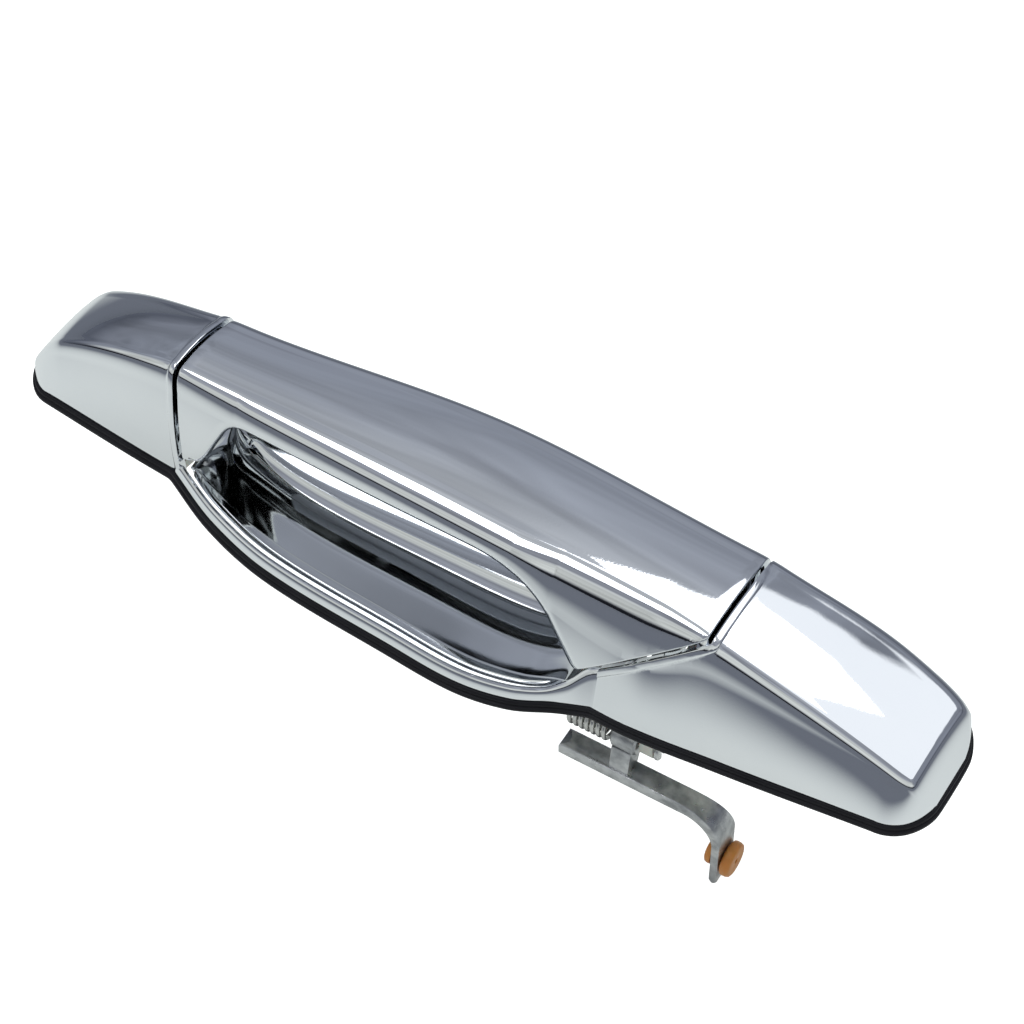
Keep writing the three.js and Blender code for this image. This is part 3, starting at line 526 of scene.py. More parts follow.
chromeLook = {
    "color": (0.86, 0.88, 0.90), "second": (0.82, 0.845, 0.87), "patchScale": 22.0,
    "roughness": (0.012, 0.05), "roughScale": 60.0, "metallic": 1.0,
    "broadScale": 34.0, "broadDepth": 0.05, "fineScale": 1500.0, "fineDepth": 0.004, "relief": 0.0006,
}
looks = {
    "chromeShell": chromeLook,
    "chromePaddle": {**chromeLook, "patchScale": 17.0, "roughness": (0.015, 0.06)},
    "chromeCup": {**chromeLook, "color": (0.82, 0.84, 0.85), "roughness": (0.02, 0.08), "broadDepth": 0.09},
    "gasketRubber": {
        "color": (0.011, 0.011, 0.014), "second": (0.02, 0.02, 0.024), "patchScale": 120.0,
        "roughness": (0.38, 0.55), "roughScale": 240.0, "broadScale": 90.0, "broadDepth": 0.12, "ior": 1.22,
        "fineScale": 3500.0, "fineDepth": 0.16, "relief": 0.0001,
    },
    "stopRubber": {
        "color": (0.02, 0.02, 0.02), "second": (0.035, 0.035, 0.035), "patchScale": 300.0,
        "roughness": (0.6, 0.8), "roughScale": 500.0, "broadScale": 200.0, "broadDepth": 0.2,
        "fineScale": 4000.0, "fineDepth": 0.3, "relief": 0.0001,
    },
    "frameNylon": {
        "color": (0.74, 0.745, 0.69), "second": (0.66, 0.665, 0.60), "patchScale": 45.0, "wear": 0.3,
        "worn": (0.85, 0.85, 0.82), "roughness": (0.36, 0.55), "roughScale": 120.0, "subsurface": 0.15,
        "broadScale": 60.0, "broadDepth": 0.15, "fineScale": 2600.0, "fineDepth": 0.12, "relief": 0.0001,
    },
    "gripPlastic": {
        "color": (0.56, 0.585, 0.64), "second": (0.60, 0.625, 0.68), "patchScale": 60.0, "wear": 0.4,
        "worn": (0.68, 0.69, 0.71), "roughness": (0.35, 0.48), "metallic": 0.15, "roughScale": 300.0,
        "broadScale": 120.0, "broadDepth": 0.1, "fineScale": 2200.0, "fineDepth": 0.5, "relief": 0.00012,
    },
    "orangeNylon": {
        "color": (0.66, 0.27, 0.055), "second": (0.53, 0.19, 0.032), "patchScale": 160.0, "wear": 0.5,
        "worn": (0.80, 0.42, 0.14), "roughness": (0.3, 0.48), "roughScale": 260.0, "subsurface": 0.2,
        "broadScale": 160.0, "broadDepth": 0.25, "fineScale": 2400.0, "fineDepth": 0.12, "relief": 0.0001,
    },
    "leverZinc": {
        "color": (0.60, 0.61, 0.62), "second": (0.30, 0.31, 0.325), "patchScale": 210.0, "contrast": 0.13,
        "wear": 0.9, "worn": (0.86, 0.87, 0.88), "roughness": (0.22, 0.46), "roughScale": 330.0,
        "metallic": 1.0, "broadScale": 170.0, "broadDepth": 0.5, "fineScale": 1700.0, "fineDepth": 0.28,
        "relief": 0.00016,
    },
    "castZinc": {
        "color": (0.52, 0.53, 0.54), "second": (0.36, 0.37, 0.38), "patchScale": 150.0, "wear": 0.8,
        "worn": (0.78, 0.79, 0.8), "roughness": (0.34, 0.56), "roughScale": 280.0, "metallic": 1.0,
        "broadScale": 150.0, "broadDepth": 0.4, "fineScale": 1900.0, "fineDepth": 0.4, "relief": 0.00016,
    },
    "pinSteel": {
        "color": (0.60, 0.61, 0.62), "second": (0.48, 0.49, 0.50), "patchScale": 260.0, "wear": 0.6,
        "worn": (0.8, 0.8, 0.8), "roughness": (0.2, 0.36), "roughScale": 420.0, "metallic": 1.0,
        "broadScale": 220.0, "broadDepth": 0.15, "fineScale": 2500.0, "fineDepth": 0.12, "relief": 0.0001,
    },
    "springSteel": {
        "color": (0.66, 0.66, 0.64), "second": (0.50, 0.50, 0.49), "patchScale": 400.0,
        "roughness": (0.16, 0.34), "roughScale": 500.0, "metallic": 1.0, "broadScale": 400.0,
        "broadDepth": 0.1, "fineScale": 2600.0, "fineDepth": 0.12, "relief": 0.0001,
    },
    "zincPlated": {
        "color": (0.58, 0.60, 0.62), "second": (0.62, 0.58, 0.46), "patchScale": 240.0, "wear": 0.7,
        "worn": (0.82, 0.82, 0.82), "roughness": (0.24, 0.4), "roughScale": 380.0, "metallic": 1.0,
        "broadScale": 200.0, "broadDepth": 0.15, "fineScale": 2300.0, "fineDepth": 0.15, "relief": 0.0001,
    },
}
made = {name: surface(name, look) for name, look in looks.items()}
print("finishes made:", len(made))


# fixed chrome shell: two caps, the rear skirt, the rail under the paddle and the rim of the cup
shell = {
    "beadRadius": 1.15,
    "beadSink": 0.72,  # how far the bead's centre lies under the surface
    "borderRows": [0.0, 0.05, 0.12, 0.22, 0.36, 0.55, 0.8, 1.1, 1.4, 1.62, 1.8, 1.92, 2.02, 2.2, 2.6],
    "reach": 0.75,  # how far the beads come into the gaps
    "skirtStart": rearGap - 25.3,  # where the rear skirt takes over from the rim
    "railTop": 5.6,
    "web": 2.2,
    "webFoot": 6.5,
    "ledges": [  # x, y and z ranges of the ledges that the closed paddle rests on
        ((frontGap - halfGap - 1, frontGap + 5), (-14, -6), (14, 16.5)),
        ((rearGap - 5, rearGap + halfGap + 1), (-10, -2), (12, 14.5)),
    ],
    "bossTop": 5.0,  # below the crest
    "bossRadius": 3.6,
}
screwBore = 1.7
capShares = [k / 22 for k in range(22)]


def bead(d):
    # height of the raised border at a distance from the gap
    radius, sink = shell["beadRadius"], shell["beadSink"]
    if d < radius:
        return (radius - sink) * (1 - clamp(1 - d / radius) ** 4) ** 0.25
    return max(math.sqrt(max(radius ** 2 - (d - radius) ** 2, 0)) - sink, 0.0)


def frontCap():
    edge = frontGap - halfGap + shell["reach"]
    xs = between([(frontEnd + 0.12, frontEnd + 4, 14), (frontEnd + 4, frontEnd + 18, 26),
                  (frontEnd + 18, edge - 4, 30)])
    xs = sorted(set(xs) | {round(edge - d, 4) for d in shell["borderRows"]} | {edge - 3.2})
    bm = bodySheet(xs, lambda x: sectionAt(x, capShares, skirtCrown=crownLine(x)))
    thicken(bm, body["wall"], lambda p: bead(edge - p.x))
    return bm


slantFoot = Vector((rearGap - 30.0, 12.4))
slantTop = Vector((rearGap, 37.4))


def beside(offset):
    # the slanting gap's border, moved square to the gap: negative is the shell's side
    along = (slantTop - slantFoot).normalized()
    return slantFoot + Vector((-along.y, along.x)) * offset, along


def rearBorder(offset):
    # border of the fixed part, a distance in from the gap, as a row of (x, z)
    point, along = beside(shell["reach"] - halfGap - offset)
    x = rearGap + halfGap - shell["reach"] + offset
    top = point + along * ((x - point.x) / along.x)
    start = point + along * ((shell["skirtStart"] - point.x) / along.x)
    return [Vector((start.x, body["foot"])), start, top, Vector((x, 80))]


def rearCap():
    edge = rearGap + halfGap - shell["reach"]
    start = slantFoot.x - 5
    xs = between([(start, edge - 1, 60), (edge + 3.2, rearEnd - 18, 26), (rearEnd - 18, rearEnd - 5, 24),
                  (rearEnd - 5, rearEnd - 0.12, 16)])
    xs = sorted(set(xs) | {round(edge + d, 4) for d in shell["borderRows"]} | {shell["skirtStart"]})

    def crown(x):
        t = clamp((x - shell["skirtStart"]) / 12)
        return crownLine(x) * t * t * (3 - 2 * t)

    bm = bodySheet(xs, lambda x: sectionAt(x, capShares, skirtCrown=crown(x)))
    for d in reversed(shell["borderRows"]):
        line = rearBorder(d)
        along = line[2] - line[1]
        cut(bm, (line[1].x, 0, line[1].y), (-along.y, 0, along.x), lambda c: c.x < edge + 3 and c.y < -12)
    line = rearBorder(0)

    def outside(c):
        if c.x > edge:
            return False
        if c.y > -14:
            return True
        if c.x < shell["skirtStart"]:
            return True
        return (c.z - line[1].y) > (c.x - line[1].x) * (line[2].y - line[1].y) / (line[2].x - line[1].x)

    gone = [f for f in bm.faces if outside(f.calc_center_median())]
    bmesh.ops.delete(bm, geom=gone, context="FACES")
    bm.normal_update()
    beadLine = [line[1] - (line[2] - line[1]), *line[2:]]
    thicken(bm, body["wall"], lambda p: bead(toBorder(beadLine, p.x, p.z)))
    return bm


def rail():
    # the low wall at the back, between the caps
    xs = between([(frontGap - halfGap, rearGap + halfGap, 90)])
    rows = 6

    def rowsAt(x):
        top, foot = Vector((backFoot(x) - 0.5, shell["railTop"])), Vector((backFoot(x), body["foot"]))
        return [Vector((top.x - 0.5, top.y - 0.05)), Vector((top.x - 0.15, top.y))] + [
            top.lerp(foot, (k + 0.4) / rows) for k in range(rows + 1)]

    bm = bodySheet(xs, rowsAt)
    thicken(bm, 1.8)
    return bm


rimLine = through([[rearGap - 42, 6.9], [rearGap - 36, 7.1], [rearGap - 31.5, 9.5], [rearGap - 28, 12.9],
                   [rearGap - 24.5, 15.75], [rearGap - 20, 19.5]])


def rim():
    # rounded lip round the mouth of the cup, which rises into the border of the rear skirt
    last = shell["skirtStart"] + 3
    xs = between([(bulgeStart + 1.6, frontGap + 20, 44), (frontGap + 20, rearGap - 60, 60),
                  (rearGap - 60, last, 76)])
    path = [Vector((x, rimFoot(x), body["foot"])) for x in xs]

    def profileAt(i):
        x = xs[i]
        h = (rimLine(x) if x > rearGap - 42 else body["rimHeight"]) - body["foot"]
        t = clamp((x - rearGap + 38) / 11)
        lean = t * t * (3 - 2 * t) * (crestLine(x) - skirtFoot(x)) / (crest(x) - filletWidth(x) - body["foot"])
        sink = 0.03 + 0.25 * clamp((x - shell["skirtStart"]) / 3)
        outer = [(0.0, 0.0), (0.01, h - 3.3), (0.09, h - 2.4), (0.26, h - 1.5), (0.52, h - 0.74),
                 (0.86, h - 0.24), (1.25, h), (1.6, h - 0.06), (1.92, h - 0.34), (2.15, h - 0.8), (2.25, h - 1.4),
                 (2.3, 0.0)]
        return [(u + lean * v + sink, v - (sink if v > 1 else 0)) for u, v in outer]

    def sideAt(i):
        before, after = path[max(i - 1, 0)], path[min(i + 1, len(path) - 1)]
        along = (after - before).normalized()
        return Vector((-along.y, along.x, 0)), Vector((0, 0, 1))

    return swept(path, profileAt, sideAt)


def web(x0, x1, low, inset=0.5):
    # wall across the body beside a gap
    x = (x0 + x1) / 2
    outline = [p for p in sectionAt(x, [0.0, 0.5], lowZ=low, backZ=low, counts=(6, 8, 6, 3))]
    middle = Vector((sum(p.x for p in outline) / len(outline), sum(p.y for p in outline) / len(outline)))
    pulled = [p + (middle - p).normalized() * inset for p in outline]
    return prism([(p.x, p.y) for p in pulled], "x", x0, x1, 0.2)


def boss(x, y, low, top, outer, bore):
    # screw boss, whose top end follows the face from inside the wall
    bm = turned([(bore, low), (outer - 0.3, low), (outer, low + 0.3), (outer + 0.4, top), (bore, top)],
                (x, y, 0), "z", 32)
    for v in bm.verts:
        if v.co.z > top - 0.01:
            across = (v.co.y - crestLine(x)) / (shoulderLine(x) - crestLine(x))
            v.co.z = min(top, crest(v.co.x) - faceDrop(x) * clamp(across) - 1.1)
    return bm


frameScrews = ["frame_screw_front_outer", "frame_screw_front_inner", "frame_screw_rear_inner",
               "frame_screw_rear_outer"]
carrierScrews = ["carrier_screw_front", "carrier_screw_rear"]
parts = [frontCap(), rearCap(), rail(), rim()]
parts.append(web(frontGap - halfGap - shell["web"], frontGap - halfGap - 0.1, shell["webFoot"]))
parts.append(web(rearGap + halfGap + 0.1, rearGap + halfGap + shell["web"], shell["webFoot"]))
for (x0, x1), (y0, y1), (z0, z1) in shell["ledges"]:
    parts.append(prism([(x0, y0), (x1, y0), (x1, y1), (x0, y1)], "z", z0, z1, 0.4))
for node in frameScrews:
    low, high = nodeBox(node)
    x, y = (low.x + high.x) / 2, (low.y + high.y) / 2
    parts.append(boss(x, y, 0.0, crest(x) - shell["bossTop"], shell["bossRadius"], screwBore))
finishPiece(merged(*parts), "chrome_shell", made["chromeShell"], "handle_body", ["bezel"],
            angle=28)
print("chrome shell done")


# finger cup
cup = {
    "front": frontGap + 1.2, "rear": rearGap - 31.8, "wall": 1.6, "floor": -6.5, "backY": 2.4, "backTop": 26,
    "frontDrop": 0.2, "frontStep": 3, "deepest": 8, "rimGap": 2.6, "rows": 12,
}


def bowlSection(x, inset):
    middle = (cup["front"] + cup["rear"]) / 2
    half = (cup["rear"] - cup["front"]) / 2 - inset
    t = clamp(abs(x - middle) / half)
    size = math.sqrt(1 - t ** (3 if x < middle else 5)) * 0.97 + 0.03
    rimY = rimFoot(x) + cup["rimGap"] + inset
    top = body["rimHeight"]
    backY = cup["backY"] - inset
    floor = top - (top - cup["floor"] - inset) * size
    frontTop = Vector((rimY, top - 0.3))
    backTop = Vector((backY, top + (cup["backTop"] - top) * size))
    frontLow = Vector((rimY + cup["frontStep"] * size, top - (top - floor) * cup["frontDrop"]))
    backLow = Vector((backY - cup["deepest"] * size, floor))
    deepSide = corner(frontTop, frontLow, backLow, 5, cup["rows"])
    backSide = corner(frontLow, backLow, backTop, 16, cup["rows"] * 2)
    rows = [frontTop.lerp(deepSide[0], k / 6) for k in range(6)] + deepSide
    rows += [deepSide[-1].lerp(backSide[0], k / 10) for k in range(1, 10)] + backSide
    return rows + [backSide[-1].lerp(backTop, k / 10) for k in range(1, 11)]


inner = cup["wall"]
first, last = cup["front"] + inner, cup["rear"] - inner
xs = between([(first, first + 6, 26), (first + 6, cup["rear"] - 14, 60), (cup["rear"] - 14, last - 2, 26),
              (last - 2, last, 12)])
bowl = bodySheet(xs, lambda x: bowlSection(x, inner))
thicken(bowl, inner - 0.1)
finishPiece(bowl, "finger_bowl", made["chromeCup"], "handle_body", ["finger_cup"], angle=50)


# gasket: a stepped rubber strip round the foot
seal = {
    "profile": [(-2.2, 0.0), (0.9, 0.0), (1.12, 0.08), (1.2, 0.3), (1.2, 1.0), (1.12, 1.22), (0.9, 1.34),
                (0.62, 1.42), (0.52, 1.55), (0.6, 1.68), (0.64, 1.9), (0.64, 2.5), (0.52, 2.78), (0.26, 2.94),
                (-0.1, 3.0), (-2.2, 3.0)],
}
low = between([
    (frontEnd, frontEnd + 1, 8), (frontEnd + 1, frontEnd + 12, 22), (frontEnd + 12, bulgeStart - 4, 16),
    (bulgeStart - 4, frontGap + 22, 44), (frontGap + 22, rearGap - 60, 34), (rearGap - 60, bulgeEnd + 4, 60),
    (bulgeEnd + 4, rearEnd - 13, 30), (rearEnd - 13, rearEnd - 1, 24), (rearEnd - 1, rearEnd, 8),
])
high = between([
    (frontEnd, frontEnd + 1, 8), (frontEnd + 1, frontEnd + 14, 22), (frontEnd + 14, rearEnd - 15, 70),
    (rearEnd - 15, rearEnd - 1, 24), (rearEnd - 1, rearEnd, 8),
])
foot = [Vector((x, rimFoot(x), 0)) for x in low] + [Vector((x, backFoot(x), 0)) for x in reversed(high)]
foot = [p for i, p in enumerate(foot) if (p - foot[i - 1]).length > 0.02]
for _ in range(3):
    foot = [(foot[i - 1] + p * 2 + foot[(i + 1) % len(foot)]) / 4 for i, p in enumerate(foot)]


def footSide(i):
    along = (foot[(i + 1) % len(foot)] - foot[i - 1]).normalized()
    return Vector((along.y, -along.x, 0)), Vector((0, 0, 1))


strip = swept(foot, lambda i: seal["profile"], footSide, closed=True)
finishPiece(strip, "gasket_strip", made["gasketRubber"], "handle_body", ["gasket"], angle=40)
print("cup and gasket done")


# paddle: the chrome shell the hand pulls
paddle = {
    "legFoot": 11.6, "legWidth": 5.5, "cutHeight": 34.0, "backFoot": 10.8,
    "lipWidth": 3.0, "lipDepth": 1.5,  # how the lower edge of the skirt rolls in
    "gapRoll": 0.45,
    "web": 2.2, "webFeet": (19.6, 17.6),
    "bossFoot": 35.6, "bossTop": 3.4, "bossRadius": 3.2,
}


def bezierPoints(a, b, c, d, count):
    points = []
    for k in range(count + 1):
        t = k / count
        s = 1 - t
        points.append(a * s ** 3 + b * 3 * s * s * t + c * 3 * s * t * t + d * t ** 3)
    return points


def fingerEdge():
    # lower edge of the skirt as (x, z): the front leg, the straight cut and the rear leg
    left = frontGap + halfGap + paddle["legWidth"]
    right = slantFoot.x
    foot, high = paddle["legFoot"], paddle["cutHeight"]
    v = Vector
    line = [v((frontGap - 5, foot)), v((left - 2.6, foot))]
    line += bezierPoints(v((left - 2.2, foot)), v((left + 1.0, foot + 0.2)), v((left + 3.4, foot + 8)),
                         v((left + 6.3, high - 8.5)), 14)
    line += bezierPoints(v((left + 6.6, high - 7.9)), v((left + 8.6, high - 3.2)), v((left + 10.5, high)),
                         v((left + 16, high)), 12)
    line += bezierPoints(v((right - 34, high)), v((right - 22, high)), v((right - 16, high - 4)),
                         v((right - 11.5, foot + 13)), 14)
    line += [v((right - 3.6, foot + 1.6)), v((right - 2.6, foot + 0.6)), v((right - 1.2, foot)),
             v((right + 60, foot))]
    return line


cutLine = fingerEdge()


def cutZ(x):
    for a, b in zip(cutLine, cutLine[1:]):
        if x <= b.x:
            return mix(a.y, b.y, clamp((x - a.x) / max(b.x - a.x, 1e-6)))
    return cutLine[-1].y


def paddleShares(x, count=14):
    # rows close together near the rolled edge
    room = max(crest(x) - filletWidth(x) - cutZ(x), 0.5)
    near = [0, 0.06, 0.15, 0.28, 0.45, 0.68, 0.95, 1.3, 1.7, 2.15, 2.6, 3.0, 3.3]
    scale = min(1.0, 0.75 * room / near[-1])
    rows = [d * scale / room for d in near]
    return rows + [mix(rows[-1], 1, k / count) for k in range(1, count)]


def paddleMain():
    lowX, highX = frontGap + halfGap, rearGap - halfGap
    near = [0, 0.04, 0.1, 0.18, 0.28, 0.4, 0.55, 0.8, 1.2]
    xs = between([(lowX + 1.6, lowX + 26, 60), (lowX + 26, slantFoot.x - 36, 50),
                  (slantFoot.x - 36, slantFoot.x + 4, 84), (slantFoot.x + 4, highX - 1.6, 40)])
    xs = sorted(set(xs) | {round(lowX + d, 4) for d in near} | {round(highX - d, 4) for d in near})
    bm = bodySheet(xs, lambda x: sectionAt(x, paddleShares(x), lowZ=cutZ(x), backZ=paddle["backFoot"],
                                           skirtCrown=crownLine(x)))
    for d in reversed(near):
        point, along = beside(halfGap + d)
        cut(bm, (point.x, 0, point.y), (along.y, 0, -along.x), lambda c: c.y < -14 and c.x > slantFoot.x - 8,
            clear=(d == 0))
    edge, along = beside(halfGap)
    slant = [edge - along * 2, edge + along * 60]

    def shift(p):
        depth = 0.0
        if p.y < -10:
            gapDistance = min(toBorder(slant, p.x, p.z), p.x - lowX, highX - p.x)
        else:
            gapDistance = min(p.x - lowX, highX - p.x)
        roll = paddle["gapRoll"]
        if gapDistance < roll:
            depth -= roll - math.sqrt(max(roll * roll - (roll - gapDistance) ** 2, 0))
        if p.y < -10 and p.z < paddle["cutHeight"] + paddle["lipWidth"] + 1:
            lip = clamp(1 - toBorder(cutLine[1:-1], p.x, p.z) / paddle["lipWidth"])
            depth -= paddle["lipDepth"] * (1 - math.sqrt(1 - lip * lip))
        return depth

    thicken(bm, body["wall"] + 0.3, shift)
    return bm


parts = [paddleMain()]
parts.append(web(frontGap + halfGap + 0.1, frontGap + halfGap + paddle["web"], paddle["webFeet"][0]))
parts.append(web(rearGap - halfGap - paddle["web"], rearGap - halfGap - 0.1, paddle["webFeet"][1]))
for node in carrierScrews:
    low, high = nodeBox(node)
    x, y = (low.x + high.x) / 2, (low.y + high.y) / 2
    parts.append(boss(x, y, paddle["bossFoot"], crest(x) - paddle["bossTop"], paddle["bossRadius"], screwBore))
finishPiece(merged(*parts), "paddle_skin", made["chromePaddle"], "paddle", ["paddle_shell"],
            angle=28)
print("paddle done")


# release lever
lever = {
    "front": -25.2, "barTop": -26.0, "barThickness": 4.0, "barWidth": 5.8, "start": -17.0, "leg": 29.0,
    "legThickness": 2.4, "legDepth": 8.6, "bottom": -54.0, "bend": 12.0, "edge": 0.5, "scoop": 2.0,
    "hubRadius": 5.2, "hubWidth": 7.0, "hubBore": 2.99, "hubEdge": 0.5,
    "armStart": 4.4,  # how far from the pivot the neck and the tail leave the hub
    "neckRadii": (3.4, 2.5), "tailRadii": (2.6, 2.2), "tailWidth": 5.0, "tailReach": 2.41,
}
leverBushLow, leverBushHigh = nodeBox("lever_bush")
leverX = (leverBushLow.x + leverBushHigh.x) / 2
pivotY, pivotZ = (leverBushLow.y + leverBushHigh.y) / 2, (leverBushLow.z + leverBushHigh.z) / 2


def leverPath():
    # middle of the strip from the bar's scooped end to the foot of the leg, with its thickness and width
    start, legX = leverX + lever["start"], leverX + lever["leg"]
    radius, half = lever["bend"], lever["barThickness"] / 2
    stations = []
    for k in range(13):
        x = mix(start, legX - radius, k / 12)
        stations.append((Vector((x, lever["barTop"] - half)), Vector((0, 1)), 1.0 if k else 0.97, 0.0))
    for k in range(1, 17):
        angle = k / 16 * math.pi / 2
        t = k / 16
        thick = mix(1.0, lever["legThickness"] / lever["barThickness"], t)
        outward = Vector((math.sin(angle), math.cos(angle)))
        centre = Vector((legX - radius, lever["barTop"] - radius))
        stations.append((centre + outward * (radius - half * thick), outward, thick, t))
    bottom = lever["bottom"]
    legTop = lever["barTop"] - radius
    for k in range(1, 9):
        z = mix(legTop, bottom + 1.2, k / 8)
        stations.append((Vector((legX - lever["legThickness"] / 2, z)), Vector((1, 0)),
                         lever["legThickness"] / lever["barThickness"], 1.0))
    for k in range(1, 5):
        angle = k / 4 * math.pi / 2 * 0.92
        stations.append((Vector((legX - lever["legThickness"] / 2, bottom + 1.2 - 1.2 * math.sin(angle))),
                         Vector((1, 0)), lever["legThickness"] / lever["barThickness"] * math.cos(angle), 1.0))
    return stations


def leverStrip():
    stations = leverPath()
    path = [Vector((p.x, lever["front"], p.y)) for p, _, _, _ in stations]

    def profileAt(i):
        _, _, thick, wide = stations[i]
        half = lever["barThickness"] / 2 * thick
        width = mix(lever["barWidth"], lever["legDepth"], wide * wide * (3 - 2 * wide))
        e = min(lever["edge"], half * 0.6)
        scoop = 0.35 * thick * (1 - wide)
        top = [(mix(e, width - e, k / 6), half - scoop * math.sin(math.pi * k / 6)) for k in range(7)]
        c = 0.3 * e
        return [(0, -half + e), (0, half - e), (c, half - c), *top, (width - c, half - c), (width, half - e),
                (width, -half + e), (width - c, -half + c), (width - e, -half), (e, -half), (c, -half + c)]

    def sideAt(i):
        return Vector((0, 1, 0)), Vector((stations[i][1].x, 0, stations[i][1].y))

    bm = swept(path, profileAt, sideAt)
    # the scooped end of the bar
    first = [v for v in bm.verts if v.co.x < leverX + lever["start"] + 0.01]
    for v in first:
        across = clamp((v.co.y - lever["front"]) / lever["barWidth"])
        upward = clamp((v.co.z - lever["barTop"] + lever["barThickness"]) / lever["barThickness"])
        v.co.x += lever["scoop"] * math.sin(math.pi * across) * (0.4 + 0.6 * upward)
    return bm


hinge = Vector((nodeBox("rear_hinge_bush")[0] + nodeBox("rear_hinge_bush")[1]) / 2)
pivot = Vector((leverX, pivotY, pivotZ))
contact = (hinge + pivot) / 2
toPivot = Vector((pivot.y - hinge.y, pivot.z - hinge.z)).normalized()
upward = Vector((toPivot.y, -toPivot.x))
tailTip = Vector((contact.y, contact.z)) + upward * lever["tailReach"]


def taper(a, b, radiusA, radiusB, steps=10):
    # outline of a flat link with a round end at b
    along = (b - a).normalized()
    side = Vector((-along.y, along.x))
    outline = [a + side * radiusA]
    for k in range(steps + 1):
        angle = math.pi / 2 - math.pi * k / steps
        outline.append(b + side * radiusB * math.sin(angle) + along * radiusB * math.cos(angle))
    outline.append(a - side * radiusA)
    return [(p.x, p.y) for p in outline]


def sleeve(bore, outer, half, edge):
    # profile of a tube with softened outer edges
    return [(bore, -half), (outer - edge, -half), (outer, -half + edge), (outer, half - edge),
            (outer - edge, half), (bore, half)]


half = lever["hubWidth"] / 2
hub = turned(sleeve(lever["hubBore"], lever["hubRadius"], half, lever["hubEdge"]), (leverX, pivotY, pivotZ),
             "x", 56)
pivotFlat = Vector((pivotY, pivotZ))
downward = (Vector((lever["front"] + 2.9, -27)) - pivotFlat).normalized()
neck = prism(taper(pivotFlat + downward * lever["armStart"], Vector((lever["front"] + 3.1, -26.6)),
                   *lever["neckRadii"]), "x", leverX - half + 0.2, leverX + half - 1.2, 0.5)
tailward = (tailTip - pivotFlat).normalized()
tail = prism(taper(pivotFlat + tailward * lever["armStart"], tailTip, *lever["tailRadii"]), "x",
             leverX - lever["tailWidth"] / 2, leverX + lever["tailWidth"] / 2, 0.45)
finishPiece(merged(leverStrip(), hub, neck, tail), "lever_casting", made["leverZinc"], "release_lever_body",
            ["release_lever"], angle=40)

# rod clip: a turned nylon button on one side of the leg and a collar on the other
clip = {
    "button": [(0.7, 0.3), (4.2, 0.3), (4.65, 0.6), (4.78, 1.1), (4.74, 2.1), (4.5, 2.75), (4.0, 3.02),
               (3.0, 3.08), (1.6, 3.0), (0.9, 2.95), (0.7, 2.8)],
    "collar": [(1.5, -4.7), (2.7, -4.7), (3.4, -4.3), (3.6, -3.6), (3.55, -2.9), (3.2, -2.72), (2.6, -2.7),
               (2.6, 0.4), (1.5, 0.4)],
}
clipLow, clipHigh = nodeBox("rod_clip")
clipCentre = (leverX + lever["leg"], (clipLow.y + clipHigh.y) / 2, (clipLow.z + clipHigh.z) / 2)
button, collar = turned(clip["button"], clipCentre, "x", 48), turned(clip["collar"], clipCentre, "x", 40)
finishPiece(merged(button, collar), "clip_button", made["orangeNylon"], "rod_clip_body",
            ["rod_clip"], angle=50)
print("lever and clip done")


# round pieces, sized by their solids
def along(node):
    low, high = nodeBox(node)
    return low, high, (low + high) / 2


def tubeOf(node, bore, material, rides):
    low, high, middle = along(node)
    outer, half = (high.z - low.z) / 2, (high.x - low.x) / 2
    bm = turned(sleeve(bore, outer, half, 0.15), middle, "x", 40)
    finishPiece(bm, node + "_tube", made[material], rides, [node])


def pinOf(node, head, headLength):
    low, high, middle = along(node)
    length = high.x - low.x
    shank = head - 1.2
    bm = turned([(0, 0), (head - 0.35, 0), (head, 0.3), (head, headLength - 0.2), (head - 0.2, headLength),
                 (shank, headLength), (shank, length - 0.5), (shank - 0.4, length), (0, length)],
                (low.x, middle.y, middle.z), "x", 40)
    finishPiece(bm, node + "_turned", made["pinSteel"], "handle_body", [node])


def springOf(node, wire, turns, rides):
    low, high, middle = along(node)
    radius = (high.z - low.z) / 2 - wire
    steps = turns * 28
    start, end = low.x + wire, high.x - wire
    path = [Vector((mix(start, end, k / steps), middle.y + radius * math.cos(k * 2 * math.pi / 28),
                    middle.z + radius * math.sin(k * 2 * math.pi / 28))) for k in range(steps + 1)]

    def sideAt(i):
        return Vector((1, 0, 0)), Vector((0, path[i].y - middle.y, path[i].z - middle.z)).normalized()

    bm = swept(path, lambda i: ring(wire, 10), sideAt)
    finishPiece(bm, node + "_coil", made["springSteel"], rides, [node], angle=50)


stud = {"headHeight": 6.3, "headRadius": 5, "core": 2.55, "threadFoot": 2.5, "threadTip": 2.98, "pitch": 1.0}


